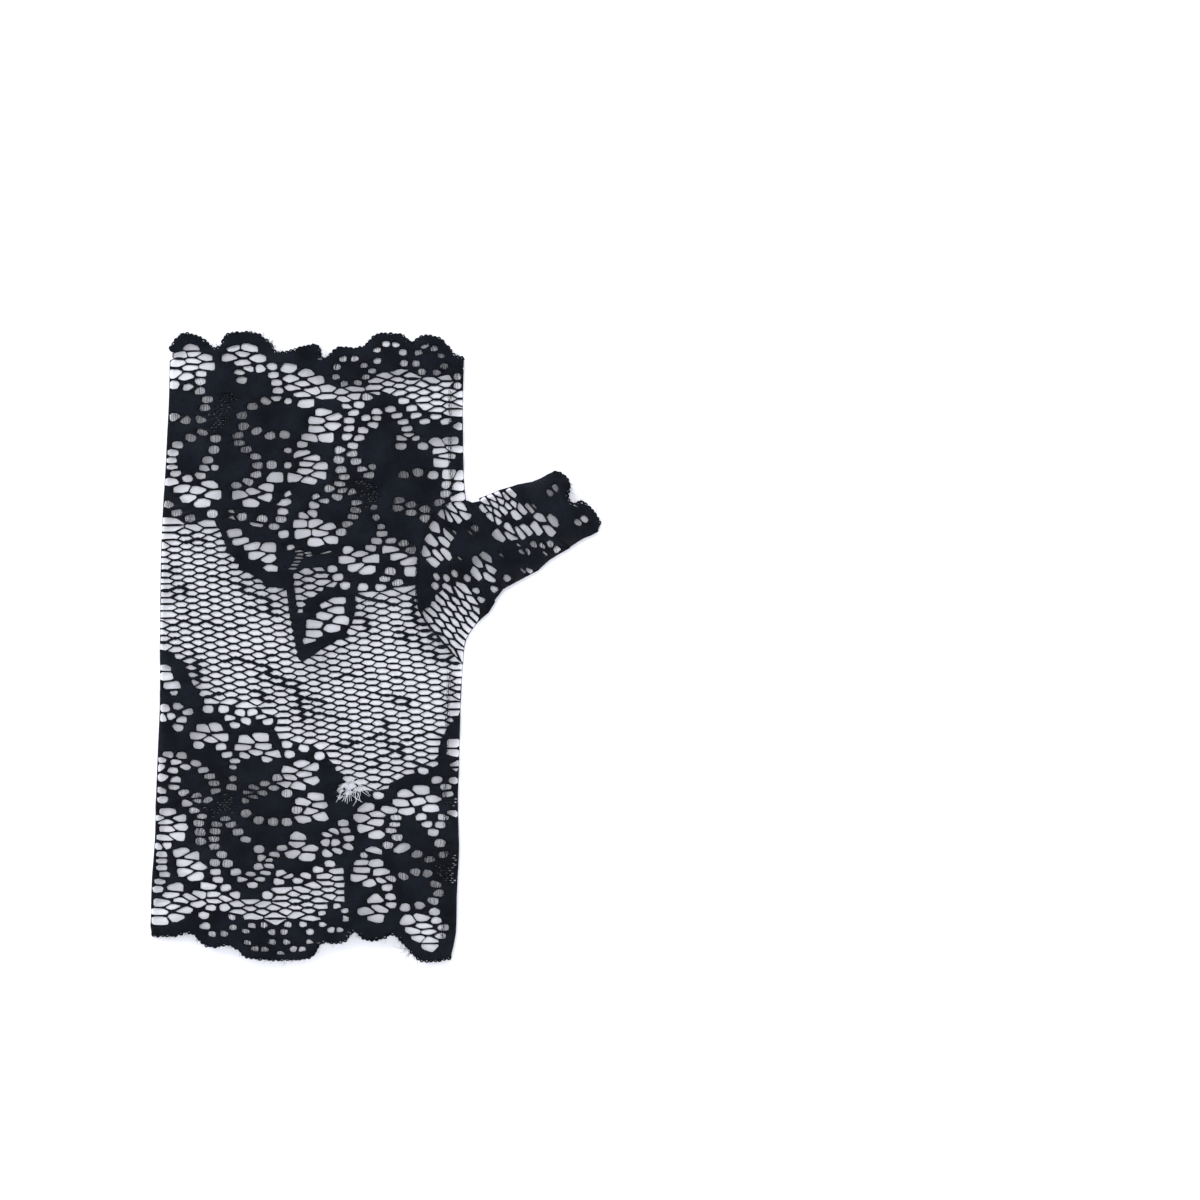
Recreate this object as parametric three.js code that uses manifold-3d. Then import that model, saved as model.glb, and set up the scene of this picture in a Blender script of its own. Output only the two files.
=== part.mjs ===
// Evening mitten of floral stretch lace: a flattened open tube for the hand, with a set-in thumb tube,
// lying flat. Millimetres. +X to the thumb, +Y to the fingers, +Z up.
import * as THREE from "three";
import { mergeGeometries, mergeVertices } from "three/addons/utils/BufferGeometryUtils.js";
import Module from "manifold-3d";

const wasm = await Module();
wasm.setup();

// Driving sizes of the hand tube
const handWidth = 94.5; // flat width between the side folds where the tube is widest
const handLength = 187.8; // from the tip of the wrist scallops to the tip of the finger scallops
const crownHeight = 10; // height of the upper layer in the middle of the hand
const foldHeight = 3.6; // height of the rounded side folds
const crownPower = 2.5; // how square the crown is from side to side
const wall = 1; // thickness of the lace
const fingerScallop = 8.4; // depth of the scallops at the finger edge
const wristScallop = 9; // depth of the scallops at the wrist edge

// Driving sizes of the thumb
const thumbReach = 40.5; // from the hand's side fold to the tip of the thumb's mouth
const thumbRoot = 48.9; // length of the thumb hole along the side fold
const thumbRootTop = 50.4; // from the finger tips' edge down to the thumb hole
const thumbHoleDepth = 14.7; // how far the thumb hole reaches in from the side fold
const thumbCrown = 9; // height of the thumb's upper layer at the mouth
const thumbPower = 3; // how square the thumb's crown is
const mouthScallop = 2.3; // depth of the scallops at the thumb's mouth

// Driving sizes of the seams and of the lace
const clearance = 0.35; // gap between touching pieces
const seamWidth = 1.8; // width of the ridge around the thumb hole
const seamThickness = 0.7; // thickness of the overlocked ridges
const sideSeamWidth = 2.6; // width of the ridge along the side fold
const sideSeamInset = 4.4; // from the side fold to the middle of that ridge
const petalRise = 0.5; // how far the thick petals stand above the net
const petalLength = 12.6; // length of a full petal
const windowLength = 10.5; // length of a full open window between the motifs
const netPitch = 9.6; // spacing of the open cells of the plain net
const netCell = 6; // size of an open cell of the plain net across its corners

// How finely the surfaces are divided
const acrossSteps = 16;
const thumbSteps = 10;
const scallopStep = 2.4;

// Side folds of the hand from the wrist up: shares of the length, half the width and the crown
const handRows = [
  { up: 0.0, left: 0.994, right: 0.93, crown: 0.84 },
  { up: 0.046, left: 1.0, right: 0.943, crown: 0.9 },
  { up: 0.094, left: 0.997, right: 0.943, crown: 0.94 },
  { up: 0.174, left: 0.978, right: 0.956, crown: 0.97 },
  { up: 0.254, left: 0.968, right: 0.949, crown: 0.95 },
  { up: 0.334, left: 0.956, right: 0.962, crown: 1.0 },
  { up: 0.414, left: 0.943, right: 0.968, crown: 0.98 },
  { up: 0.51, left: 0.943, right: 0.985, crown: 1.0 },
  { up: 0.637, left: 0.937, right: 1.0, crown: 0.97 },
  { up: 0.717, left: 0.924, right: 1.0, crown: 1.0 },
  { up: 0.765, left: 0.911, right: 0.987, crown: 0.97 },
  { up: 0.893, left: 0.886, right: 0.981, crown: 0.94 },
  { up: 1.0, left: 0.876, right: 0.987, crown: 0.84 },
];

// Scallops of the finger edge from left to right: each arch ends at a share of the width, on a sill,
// and peaks at a share of the scallop depth
const fingerArches = [
  { end: 0.061, sill: 0.39, peak: 0.39 },
  { end: 0.197, sill: 0.43, peak: 0.97 },
  { end: 0.222, sill: 0.46, peak: 0.46 },
  { end: 0.397, sill: 0.27, peak: 1.0 },
  { end: 0.445, sill: 0.25, peak: 0.25 },
  { end: 0.536, sill: 0.04, peak: 0.54 },
  { end: 0.556, sill: 0.06, peak: 0.06 },
  { end: 0.683, sill: 0.5, peak: 0.52 },
  { end: 0.825, sill: 0.64, peak: 0.97 },
  { end: 0.995, sill: 0.05, peak: 0.9 },
];

// Scallops of the wrist edge from left to right, measured down from the sill
const wristArches = [
  { end: 0.111, sill: 0.03, peak: 0.16 },
  { end: 0.257, sill: 0.47, peak: 0.53 },
  { end: 0.54, sill: 0.33, peak: 1.0 },
  { end: 0.644, sill: 0.0, peak: 0.42 },
  { end: 0.771, sill: 0.1, peak: 0.28 },
  { end: 0.96, sill: 0.9, peak: 1.0 },
];

// Edge of the thumb hole from its top to its bottom: shares of the root's length and of the hole's depth
const thumbHoleRows = [
  { down: 0.0, in: 0.0 },
  { down: 0.012, in: 0.37 },
  { down: 0.086, in: 0.65 },
  { down: 0.21, in: 0.86 },
  { down: 0.36, in: 0.96 },
  { down: 0.515, in: 1.0 },
  { down: 0.69, in: 0.92 },
  { down: 0.82, in: 0.59 },
  { down: 0.93, in: 0.29 },
  { down: 1.0, in: 0.0 },
];

// Sections of the thumb from its root to its mouth: upper and lower fold as shares of the reach (out)
// and of the root's length (down), the bow of the section and the blend into the thumb's own crown
const thumbRows = [
  { upperOut: 0.0, upperDown: 0.0, lowerOut: 0.0, lowerDown: 1.0, bow: 1.0, own: 0.0 },
  { upperOut: 0.09, upperDown: -0.02, lowerOut: 0.05, lowerDown: 0.81, bow: 0.62, own: 0.2 },
  { upperOut: 0.19, upperDown: -0.05, lowerOut: 0.16, lowerDown: 0.69, bow: 0.34, own: 0.45 },
  { upperOut: 0.29, upperDown: -0.075, lowerOut: 0.26, lowerDown: 0.58, bow: 0.16, own: 0.7 },
  { upperOut: 0.385, upperDown: -0.1, lowerOut: 0.4, lowerDown: 0.49, bow: 0.06, own: 0.9 },
  { upperOut: 0.48, upperDown: -0.115, lowerOut: 0.56, lowerDown: 0.39, bow: 0.02, own: 1.0 },
  { upperOut: 0.58, upperDown: -0.155, lowerOut: 0.79, lowerDown: 0.27, bow: 0.0, own: 1.0 },
  { upperOut: 0.655, upperDown: -0.175, lowerOut: 0.99, lowerDown: 0.155, bow: 0.0, own: 1.0 },
];

// Scallops of the thumb's mouth: shares of its width and of the scallop depth, outward from the chord
const mouthRows = [
  { along: 0.0, out: 0.0 },
  { along: 0.1, out: 0.45 },
  { along: 0.2, out: 0.66 },
  { along: 0.3, out: 0.55 },
  { along: 0.4, out: -0.85 },
  { along: 0.5, out: -1.0 },
  { along: 0.6, out: -0.3 },
  { along: 0.7, out: 0.35 },
  { along: 0.85, out: 0.4 },
  { along: 1.0, out: 0.0 },
];

// Thick petals of the four flowers and the leaves: middle as shares of the hand's width and length from
// its lower left, length and breadth as shares of a full petal, turn in degrees from +X
const petalRows = [
  { across: 0.222, up: 0.923, long: 0.9, broad: 0.66, turn: 90 },
  { across: 0.327, up: 0.911, long: 1.0, broad: 0.6, turn: 35 },
  { across: 0.381, up: 0.866, long: 1.0, broad: 0.5, turn: 5 },
  { across: 0.371, up: 0.818, long: 1.0, broad: 0.42, turn: -12 },
  { across: 0.263, up: 0.792, long: 1.0, broad: 0.66, turn: -70 },
  { across: 0.143, up: 0.804, long: 0.86, broad: 0.6, turn: 45 },
  { across: 0.092, up: 0.843, long: 0.8, broad: 0.38, turn: 5 },
  { across: 0.101, up: 0.89, long: 0.86, broad: 0.48, turn: -10 },
  { across: 0.727, up: 0.829, long: 1.1, broad: 0.62, turn: 65 },
  { across: 0.829, up: 0.799, long: 0.86, broad: 0.5, turn: 10 },
  { across: 0.848, up: 0.751, long: 1.15, broad: 0.46, turn: -3 },
  { across: 0.822, up: 0.692, long: 1.0, broad: 0.5, turn: -20 },
  { across: 0.679, up: 0.682, long: 0.9, broad: 0.55, turn: 65 },
  { across: 0.584, up: 0.716, long: 0.86, broad: 0.46, turn: 15 },
  { across: 0.197, up: 0.311, long: 1.0, broad: 0.55, turn: -50 },
  { across: 0.337, up: 0.3, long: 1.0, broad: 0.6, turn: 35 },
  { across: 0.14, up: 0.286, long: 0.8, broad: 0.42, turn: -25 },
  { across: 0.378, up: 0.246, long: 1.2, broad: 0.55, turn: 8 },
  { across: 0.371, up: 0.193, long: 1.0, broad: 0.6, turn: -40 },
  { across: 0.273, up: 0.174, long: 1.0, broad: 0.5, turn: -52 },
  { across: 0.835, up: 0.198, long: 1.0, broad: 0.5, turn: -50 },
  { across: 0.832, up: 0.112, long: 0.8, broad: 0.55, turn: 20 },
];

// Open windows between the petals and their outlines, as shares of the hand and of a full window
const windowRows = [
  { across: 0.137, up: 0.954, long: 1.1, broad: 0.42, turn: 15 },
  { across: 0.302, up: 0.962, long: 1.1, broad: 0.34, turn: 0 },
  { across: 0.483, up: 0.919, long: 0.85, broad: 0.8, turn: 45 },
  { across: 0.133, up: 0.743, long: 1.3, broad: 0.44, turn: -10 },
  { across: 0.333, up: 0.749, long: 1.4, broad: 0.5, turn: 10 },
  { across: 0.543, up: 0.851, long: 1.0, broad: 0.75, turn: 0 },
  { across: 0.514, up: 0.789, long: 0.66, broad: 0.9, turn: 0 },
  { across: 0.927, up: 0.808, long: 0.9, broad: 0.55, turn: 0 },
  { across: 0.533, up: 0.685, long: 1.1, broad: 0.5, turn: -20 },
  { across: 0.663, up: 0.636, long: 0.85, broad: 0.36, turn: -20 },
  { across: 0.8, up: 0.648, long: 0.85, broad: 0.5, turn: 0 },
  { across: 0.733, up: 0.866, long: 0.8, broad: 0.3, turn: 0 },
  { across: 0.333, up: 0.653, long: 1.45, broad: 0.5, turn: -32 },
  { across: 0.463, up: 0.644, long: 0.6, broad: 0.9, turn: 0 },
  { across: 0.556, up: 0.546, long: 1.1, broad: 0.46, turn: 50 },
  { across: 0.062, up: 0.45, long: 0.6, broad: 0.45, turn: 60 },
  { across: 0.184, up: 0.356, long: 0.9, broad: 0.42, turn: 0 },
  { across: 0.333, up: 0.34, long: 1.0, broad: 0.42, turn: 0 },
  { across: 0.473, up: 0.289, long: 0.85, broad: 0.7, turn: 0 },
  { across: 0.517, up: 0.238, long: 0.85, broad: 0.6, turn: -10 },
  { across: 0.473, up: 0.182, long: 0.8, broad: 0.6, turn: 0 },
  { across: 0.066, up: 0.211, long: 0.8, broad: 0.7, turn: 0 },
  { across: 0.119, up: 0.147, long: 0.9, broad: 0.6, turn: -30 },
  { across: 0.066, up: 0.089, long: 0.9, broad: 0.9, turn: 0 },
  { across: 0.851, up: 0.254, long: 1.4, broad: 0.6, turn: 10 },
  { across: 0.698, up: 0.222, long: 0.7, broad: 0.85, turn: 0 },
  { across: 0.695, up: 0.136, long: 0.9, broad: 0.9, turn: 0 },
  { across: 0.863, up: 0.043, long: 1.15, broad: 0.75, turn: 0 },
];

// Open windows of the thumb: middle as shares of the reach (out) and of the root's length (down)
const thumbWindowRows = [
  { out: 0.33, down: 0.03, long: 1.1, broad: 0.5, turn: 10 },
  { out: 0.35, down: 0.21, long: 1.0, broad: 0.42, turn: 0 },
  { out: 0.6, down: 0.14, long: 0.75, broad: 0.6, turn: 30 },
  { out: 0.14, down: 0.42, long: 0.7, broad: 0.75, turn: 60 },
  { out: -0.09, down: 0.07, long: 0.62, broad: 0.36, turn: 0 },
  { out: -0.22, down: 0.26, long: 0.7, broad: 0.95, turn: 60 },
  { out: -0.16, down: 0.6, long: 0.5, broad: 0.5, turn: 0 },
  { out: 0.02, down: 0.68, long: 0.5, broad: 0.5, turn: 0 },
];

// Fields of plain net: first cell as shares of the hand's width and length, and how many cells
const netFields = [
  { across: 0.1, up: 0.585, columns: 4, rows: 2 },
  { across: 0.2, up: 0.435, columns: 7, rows: 2 },
  { across: 0.7, up: 0.912, columns: 2, rows: 1 },
  { across: 0.28, up: 0.082, columns: 3, rows: 1 },
];

const laceMaterial = new THREE.MeshStandardMaterial({ color: 0x191a22, roughness: 0.88, metalness: 0 });
const seamMaterial = new THREE.MeshStandardMaterial({ color: 0x101116, roughness: 0.8, metalness: 0 });

// Places in plan, with the middle of the hand's width and the tips of its wrist scallops at zero
const halfWidth = handWidth / 2;
const thumbTopY = handLength - thumbRootTop;
const planX = (across) => (across - 0.5) * handWidth;
const planY = (up) => up * handLength;

// Reads a column of a table between its rows
function between(rows, key, value, column) {
  let i = 1;
  while (i < rows.length - 1 && rows[i][key] < value) i += 1;
  const span = rows[i][key] - rows[i - 1][key];
  const t = THREE.MathUtils.clamp((value - rows[i - 1][key]) / span, 0, 1);
  return THREE.MathUtils.lerp(rows[i - 1][column], rows[i][column], t);
}

const crown = (side, top, power) => foldHeight + (top - foldHeight) * (1 - Math.min(1, Math.abs(side)) ** power);

// Side folds and outer height of the hand at a place in plan
function handSection(y) {
  const up = y / handLength;
  return {
    left: -between(handRows, "up", up, "left") * halfWidth,
    right: between(handRows, "up", up, "right") * halfWidth,
    top: between(handRows, "up", up, "crown") * crownHeight,
  };
}

function handTop(x, y) {
  const { left, right, top } = handSection(y);
  const radius = foldHeight / 2;
  const side = (2 * x - left - right) / (right - left - 2 * radius);
  return crown(side, top, crownPower);
}

// One section ring of a flattened tube: the upper layer over the plan points, a half-round fold, the
// flat lower layer back again and the other fold. Inset 0 gives the outer face, inset = wall the inner.
function sectionRing(points, heights, inset) {
  const radius = foldHeight / 2 - inset;
  const last = points.length - 1;
  const ring = points.map((p, i) => new THREE.Vector3(p.x, p.y, heights[i] - inset));
  const fold = (end, before, from, to) => {
    const away = new THREE.Vector2().subVectors(end, before).normalize();
    [0.25, 0.5, 0.75].forEach((turn) => {
      const angle = THREE.MathUtils.lerp(from, to, turn);
      const out = radius * Math.cos(angle);
      ring.push(new THREE.Vector3(
        end.x + away.x * out, end.y + away.y * out, foldHeight / 2 + radius * Math.sin(angle)));
    });
  };
  fold(points[last], points[last - 1], Math.PI / 2, -Math.PI / 2);
  for (let i = last; i >= 0; i -= 1) ring.push(new THREE.Vector3(points[i].x, points[i].y, inset));
  fold(points[0], points[1], -Math.PI / 2, Math.PI / 2);
  return ring;
}

// Closed wall between outer and inner rings, open at both ends of the tube
function tubeGeometry(outer, inner) {
  const size = outer[0].length;
  const rings = [...outer, ...inner.slice().reverse()];
  const positions = rings.flat().flatMap((p) => [p.x, p.y, p.z]);
  const index = [];
  rings.forEach((_, r) => {
    const next = (r + 1) % rings.length;
    for (let i = 0; i < size; i += 1) {
      const j = (i + 1) % size;
      const [a, b, c, d] = [r * size + i, r * size + j, next * size + j, next * size + i];
      index.push(a, b, c, a, c, d);
    }
  });
  const geometry = new THREE.BufferGeometry();
  geometry.setAttribute("position", new THREE.Float32BufferAttribute(positions, 3));
  geometry.setIndex(index);
  return geometry;
}

// Solids from geometries and back, for joins and cuts
function toSolid(geometry) {
  const bare = geometry.clone();
  bare.deleteAttribute("normal");
  bare.deleteAttribute("uv");
  const merged = mergeVertices(bare, 1e-5);
  const solid = (flip) => {
    const triVerts = new Uint32Array(merged.index.array);
    if (flip) {
      for (let i = 0; i < triVerts.length; i += 3) {
        [triVerts[i], triVerts[i + 1]] = [triVerts[i + 1], triVerts[i]];
      }
    }
    const vertProperties = new Float32Array(merged.attributes.position.array);
    return new wasm.Manifold(new wasm.Mesh({ numProp: 3, vertProperties, triVerts }));
  };
  const asMade = solid(false);
  return asMade.volume() > 0 ? asMade : solid(true);
}

function toMesh(name, solid, material) {
  const { vertProperties, triVerts } = solid.getMesh();
  const geometry = new THREE.BufferGeometry();
  geometry.setAttribute("position", new THREE.BufferAttribute(new Float32Array(vertProperties), 3));
  geometry.setIndex(new THREE.BufferAttribute(new Uint32Array(triVerts), 1));
  geometry.computeVertexNormals();
  const mesh = new THREE.Mesh(geometry, material);
  mesh.name = name;
  return mesh;
}

// Upright prism over an outline in plan, tall enough to pass both layers
function prism(outline) {
  const height = 2 * (crownHeight + thumbCrown);
  const geometry = new THREE.ExtrudeGeometry(new THREE.Shape(outline), { depth: height, bevelEnabled: false });
  return geometry.translate(0, 0, -height / 4);
}

// Pointed oval in plan, for petals, windows and cells
function oval(x, y, length, breadth, turn, corners) {
  const angle = THREE.MathUtils.degToRad(turn);
  const points = [];
  for (let i = 0; i < corners; i += 1) {
    const a = (i / corners) * 2 * Math.PI;
    const p = new THREE.Vector2((length / 2) * Math.cos(a), (breadth / 2) * Math.sin(a));
    points.push(p.rotateAround(new THREE.Vector2(), angle).add(new THREE.Vector2(x, y)));
  }
  return points;
}

// Height of a scalloped edge above its sill line at a share of the width
function archHeight(arches, across) {
  let start = { end: 0, sill: arches[0].sill };
  for (const arch of arches) {
    if (across <= arch.end) {
      const t = (across - start.end) / (arch.end - start.end);
      const base = THREE.MathUtils.lerp(start.sill, arch.sill, t);
      return base + (arch.peak - base) * Math.sqrt(1 - Math.abs(2 * t - 1) ** 2.4);
    }
    start = arch;
  }
  return start.sill;
}

// Outline of the hand in plan, wider than the tube at its sides and scalloped at both ends
function scallopedOutline() {
  const steps = Math.round(handWidth / scallopStep);
  const side = halfWidth + thumbHoleDepth;
  const points = [new THREE.Vector2(side, archY(wristArches, 1)), new THREE.Vector2(side, archY(fingerArches, 1))];
  for (let i = steps; i >= 0; i -= 1) points.push(edgePoint(fingerArches, i / steps));
  points.push(new THREE.Vector2(-side, archY(fingerArches, 0)), new THREE.Vector2(-side, archY(wristArches, 0)));
  for (let i = 0; i <= steps; i += 1) points.push(edgePoint(wristArches, i / steps));
  return points;
}

function archY(arches, across) {
  const height = archHeight(arches, across);
  return arches === fingerArches ? handLength - fingerScallop * (1 - height) : wristScallop * (1 - height);
}

function edgePoint(arches, across) {
  return new THREE.Vector2(planX(across), archY(arches, across));
}

// Points at even spacing along a plan curve, kept clear of both its ends by the fold's radius
function spaced(points, count, endGap) {
  const curve = new THREE.CatmullRomCurve3(points.map((p) => new THREE.Vector3(p.x, p.y, 0)));
  const length = curve.getLength();
  const result = [];
  for (let i = 0; i <= count; i += 1) {
    const share = (endGap + ((length - 2 * endGap) * i) / count) / length;
    const p = curve.getPointAt(share);
    result.push(new THREE.Vector2(p.x, p.y));
  }
  return result;
}

// Edge of the thumb hole in plan, moved towards the thumb by a gap
function thumbHoleEdge(gap) {
  const middle = thumbTopY - thumbRoot / 2;
  return thumbHoleRows.map(({ down, in: inward }) => {
    const y = thumbTopY - down * thumbRoot;
    const right = handSection(y).right;
    const squeeze = 1 - (2 * gap) / thumbRoot;
    return new THREE.Vector2(right - inward * thumbHoleDepth + gap, middle + (y - middle) * squeeze);
  });
}

// Plan curve of one section of the thumb, and the share of the way to the mouth
function thumbSection(row, last) {
  const foldX = handSection(thumbTopY).right;
  const upper = new THREE.Vector2(foldX + row.upperOut * thumbReach, thumbTopY - row.upperDown * thumbRoot);
  const lower = new THREE.Vector2(foldX + row.lowerOut * thumbReach, thumbTopY - row.lowerDown * thumbRoot);
  const chord = new THREE.Vector2().subVectors(lower, upper);
  const inward = new THREE.Vector2(chord.y, -chord.x).normalize();
  if (inward.x > 0) inward.negate();
  const rows = last ? mouthRows : thumbHoleRows;
  return rows.map((r, i) => {
    const share = last ? r.along : THREE.MathUtils.lerp(r.down, i / (rows.length - 1), 1 - row.bow);
    const bow = last ? -r.out * mouthScallop : r.in * thumbHoleDepth * row.bow;
    return upper.clone().addScaledVector(chord, share).addScaledVector(inward, bow);
  });
}

// The thumb's rings: the first follows the thumb hole, the last the scalloped mouth
const thumbRings = thumbRows.map((row, k) => {
  const curve = k === 0 ? thumbHoleEdge(clearance) : thumbSection(row, k === thumbRows.length - 1);
  const points = spaced(curve, thumbSteps, foldHeight / 2);
  const heights = points.map((p, i) => {
    const own = crown((2 * i) / thumbSteps - 1, thumbCrown, thumbPower);
    return THREE.MathUtils.lerp(handTop(p.x, p.y), own, row.own);
  });
  return { points, heights };
});

function thumbWall() {
  const outer = thumbRings.map((r) => sectionRing(r.points, r.heights, 0));
  const inner = thumbRings.map((r) => sectionRing(r.points, r.heights, wall));
  return toSolid(tubeGeometry(outer, inner));
}

// The hand's rings, with the whole tube raised by a rise for the petals
function handRings(inset, rise) {
  return handRows.map(({ up }, k) => {
    const past = k === 0 ? -wall : k === handRows.length - 1 ? wall : 0;
    const y = planY(up) + past;
    const { left, right } = handSection(y);
    const radius = foldHeight / 2;
    const points = [];
    for (let i = 0; i <= acrossSteps; i += 1) {
      points.push(new THREE.Vector2(THREE.MathUtils.lerp(left + radius, right - radius, i / acrossSteps), y));
    }
    const heights = points.map((p) => handTop(p.x, y) + rise);
    return sectionRing(points, heights, inset);
  });
}

function windows() {
  const hand = windowRows.map((w) => oval(
    planX(w.across), planY(w.up), w.long * windowLength, w.broad * windowLength, w.turn, 6));
  const cells = netFields.flatMap((field) => {
    const list = [];
    for (let r = 0; r < field.rows; r += 1) {
      for (let c = 0; c < field.columns; c += 1) {
        const x = planX(field.across) + (c + (r % 2) / 2) * netPitch;
        const y = planY(field.up) - (r + (c % 2) / 2) * netPitch * Math.sin(Math.PI / 3);
        list.push(oval(x, y, netCell * 1.3, netCell, 0, 6));
      }
    }
    return list;
  });
  return [...hand, ...cells];
}

function thumbWindows() {
  const foldX = handSection(thumbTopY).right;
  return thumbWindowRows.map((w) => oval(
    foldX + w.out * thumbReach, thumbTopY - w.down * thumbRoot,
    w.long * windowLength, w.broad * windowLength, w.turn, 6));
}

const cutter = (outlines) => toSolid(mergeGeometries(outlines.map(prism)));

// The hand: a scalloped tube, cut for the thumb and pierced, with its petals raised on the upper layer
function handWall() {
  const tube = toSolid(tubeGeometry(handRings(0, 0), handRings(wall, 0)));
  const raised = toSolid(tubeGeometry(handRings(0, petalRise), handRings(wall, petalRise)));
  const petals = cutter(petalRows.map((p) => oval(
    planX(p.across), planY(p.up), p.long * petalLength, p.broad * petalLength, p.turn, 8)));
  const above = toSolid(new THREE.BoxGeometry(2 * handWidth, 2 * handLength, crownHeight)
    .translate(0, handLength / 2, foldHeight + crownHeight / 2));
  const outline = toSolid(prism(scallopedOutline()));
  const edge = thumbHoleEdge(0);
  const past = 2 * halfWidth;
  const hole = toSolid(prism([
    ...spaced(edge, 2 * thumbSteps, 0),
    new THREE.Vector2(past, edge.at(-1).y),
    new THREE.Vector2(past, edge[0].y),
  ]));
  const relief = raised.intersect(petals).intersect(above);
  return tube.add(relief).intersect(outline).subtract(hole).subtract(cutter(windows()));
}

// Flat ridge along a plan curve, between a lower and an upper face given at its two edges
function ridge(points, width, lowerAt, upperAt) {
  const last = points.length - 1;
  const sections = points.map((p, i) => {
    const along = new THREE.Vector2().subVectors(points[Math.min(i + 1, last)], points[Math.max(i - 1, 0)]);
    const side = new THREE.Vector2(-along.y, along.x).normalize().multiplyScalar(width / 2);
    const a = p.clone().add(side);
    const b = p.clone().sub(side);
    return [
      new THREE.Vector3(a.x, a.y, lowerAt(a)), new THREE.Vector3(b.x, b.y, lowerAt(b)),
      new THREE.Vector3(b.x, b.y, upperAt(b)), new THREE.Vector3(a.x, a.y, upperAt(a)),
    ];
  });
  const positions = sections.flat().flatMap((p) => [p.x, p.y, p.z]);
  const index = [0, 2, 1, 0, 3, 2];
  for (let k = 0; k < last; k += 1) {
    for (let i = 0; i < 4; i += 1) {
      const j = (i + 1) % 4;
      const [a, b, c, d] = [4 * k + i, 4 * k + j, 4 * k + 4 + j, 4 * k + 4 + i];
      index.push(a, b, c, a, c, d);
    }
  }
  const end = 4 * last;
  index.push(end, end + 1, end + 2, end, end + 2, end + 3);
  const geometry = new THREE.BufferGeometry();
  geometry.setAttribute("position", new THREE.Float32BufferAttribute(positions, 3));
  geometry.setIndex(index);
  return toSolid(geometry);
}

// The ridge around the thumb hole: one strip under the upper layer and one on the lower, joined where
// they meet in the side folds
function thumbSeam() {
  const path = spaced(thumbHoleEdge(clearance / 2), 2 * thumbSteps, foldHeight / 2);
  const low = wall + clearance;
  const under = (p) => Math.max(foldHeight, handTop(p.x, p.y)) - wall - clearance;
  const upper = ridge(path, seamWidth, (p) => under(p) - seamThickness, under);
  const lower = ridge(path, seamWidth, () => low, () => low + seamThickness);
  return upper.add(lower);
}

// The side seam: a strip lying on the lower layer just inside the thumb-side fold
function sideSeam(fromY, toY) {
  const steps = 5;
  const points = [];
  for (let i = 0; i <= steps; i += 1) {
    const y = THREE.MathUtils.lerp(fromY, toY, i / steps);
    points.push(new THREE.Vector2(handSection(y).right - sideSeamInset, y));
  }
  const low = wall + clearance;
  return ridge(points, sideSeamWidth, () => low, () => low + seamThickness);
}

const seamStop = seamWidth + clearance;
const fingerSill = archY(fingerArches, 0.95);
const wristSill = archY(wristArches, 0.93);

const mitten = new THREE.Group();
mitten.add(toMesh("hand_tube", handWall(), laceMaterial));
mitten.add(toMesh("thumb_tube", thumbWall().subtract(cutter(thumbWindows())), laceMaterial));
mitten.add(toMesh("thumb_seam", thumbSeam(), seamMaterial));
mitten.add(toMesh("side_seam_finger", sideSeam(thumbTopY + seamStop, fingerSill - wall), seamMaterial));
mitten.add(toMesh("side_seam_wrist", sideSeam(wristSill + wall, thumbTopY - thumbRoot - seamStop), seamMaterial));

// The origin is at the middle of the whole mitten's plan, on the surface that it lies on
const bounds = new THREE.Box3().setFromObject(mitten);
const middle = bounds.getCenter(new THREE.Vector3());
mitten.position.set(-middle.x, -middle.y, -bounds.min.z);

export default mitten;
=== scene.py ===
"""Evening mitten of black floral stretch lace, lying flat on a pale table.

The lace is real geometry: a drawn chart of its flowers, leaves and net is turned into a field of
cells, each cell is knitted as a rim of thread round its hole, and the flat field is laid over the form
of the mitten, once for the upper layer and once for the lower.
"""
import logging
import math
from dataclasses import dataclass, field
from enum import Enum, IntEnum

import bpy
import numpy as np
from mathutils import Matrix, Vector
from mathutils.bvhtree import BVHTree
from mathutils.geometry import delaunay_2d_cdt


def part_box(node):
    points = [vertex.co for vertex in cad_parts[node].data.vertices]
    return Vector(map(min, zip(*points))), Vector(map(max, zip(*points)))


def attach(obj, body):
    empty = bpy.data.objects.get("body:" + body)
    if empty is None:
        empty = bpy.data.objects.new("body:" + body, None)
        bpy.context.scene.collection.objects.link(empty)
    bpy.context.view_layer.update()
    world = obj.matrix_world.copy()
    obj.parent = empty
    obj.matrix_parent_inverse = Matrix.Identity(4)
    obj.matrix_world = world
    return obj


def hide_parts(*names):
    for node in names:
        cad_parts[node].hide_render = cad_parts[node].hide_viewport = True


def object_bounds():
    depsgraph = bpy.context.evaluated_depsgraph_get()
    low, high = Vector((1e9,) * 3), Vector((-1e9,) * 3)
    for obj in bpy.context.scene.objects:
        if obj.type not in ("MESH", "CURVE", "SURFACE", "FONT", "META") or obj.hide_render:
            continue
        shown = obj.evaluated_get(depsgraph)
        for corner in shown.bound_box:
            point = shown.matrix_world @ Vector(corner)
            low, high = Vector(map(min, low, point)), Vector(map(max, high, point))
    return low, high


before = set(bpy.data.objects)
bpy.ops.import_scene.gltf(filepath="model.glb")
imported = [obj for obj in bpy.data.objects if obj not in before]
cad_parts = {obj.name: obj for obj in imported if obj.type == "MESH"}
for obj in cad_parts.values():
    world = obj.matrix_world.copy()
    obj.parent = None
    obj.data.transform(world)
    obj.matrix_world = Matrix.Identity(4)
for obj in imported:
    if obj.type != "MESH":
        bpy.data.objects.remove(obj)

log = logging.getLogger("evening_mitten")
MM = 0.001
CAD_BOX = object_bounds()

# The lace chart: x to the right and y down, in chart squares; one square is 0.3 mm of lace
SQUARE_MM = 0.3
CHART_MIDDLE = (375.5, 646.5)

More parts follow.
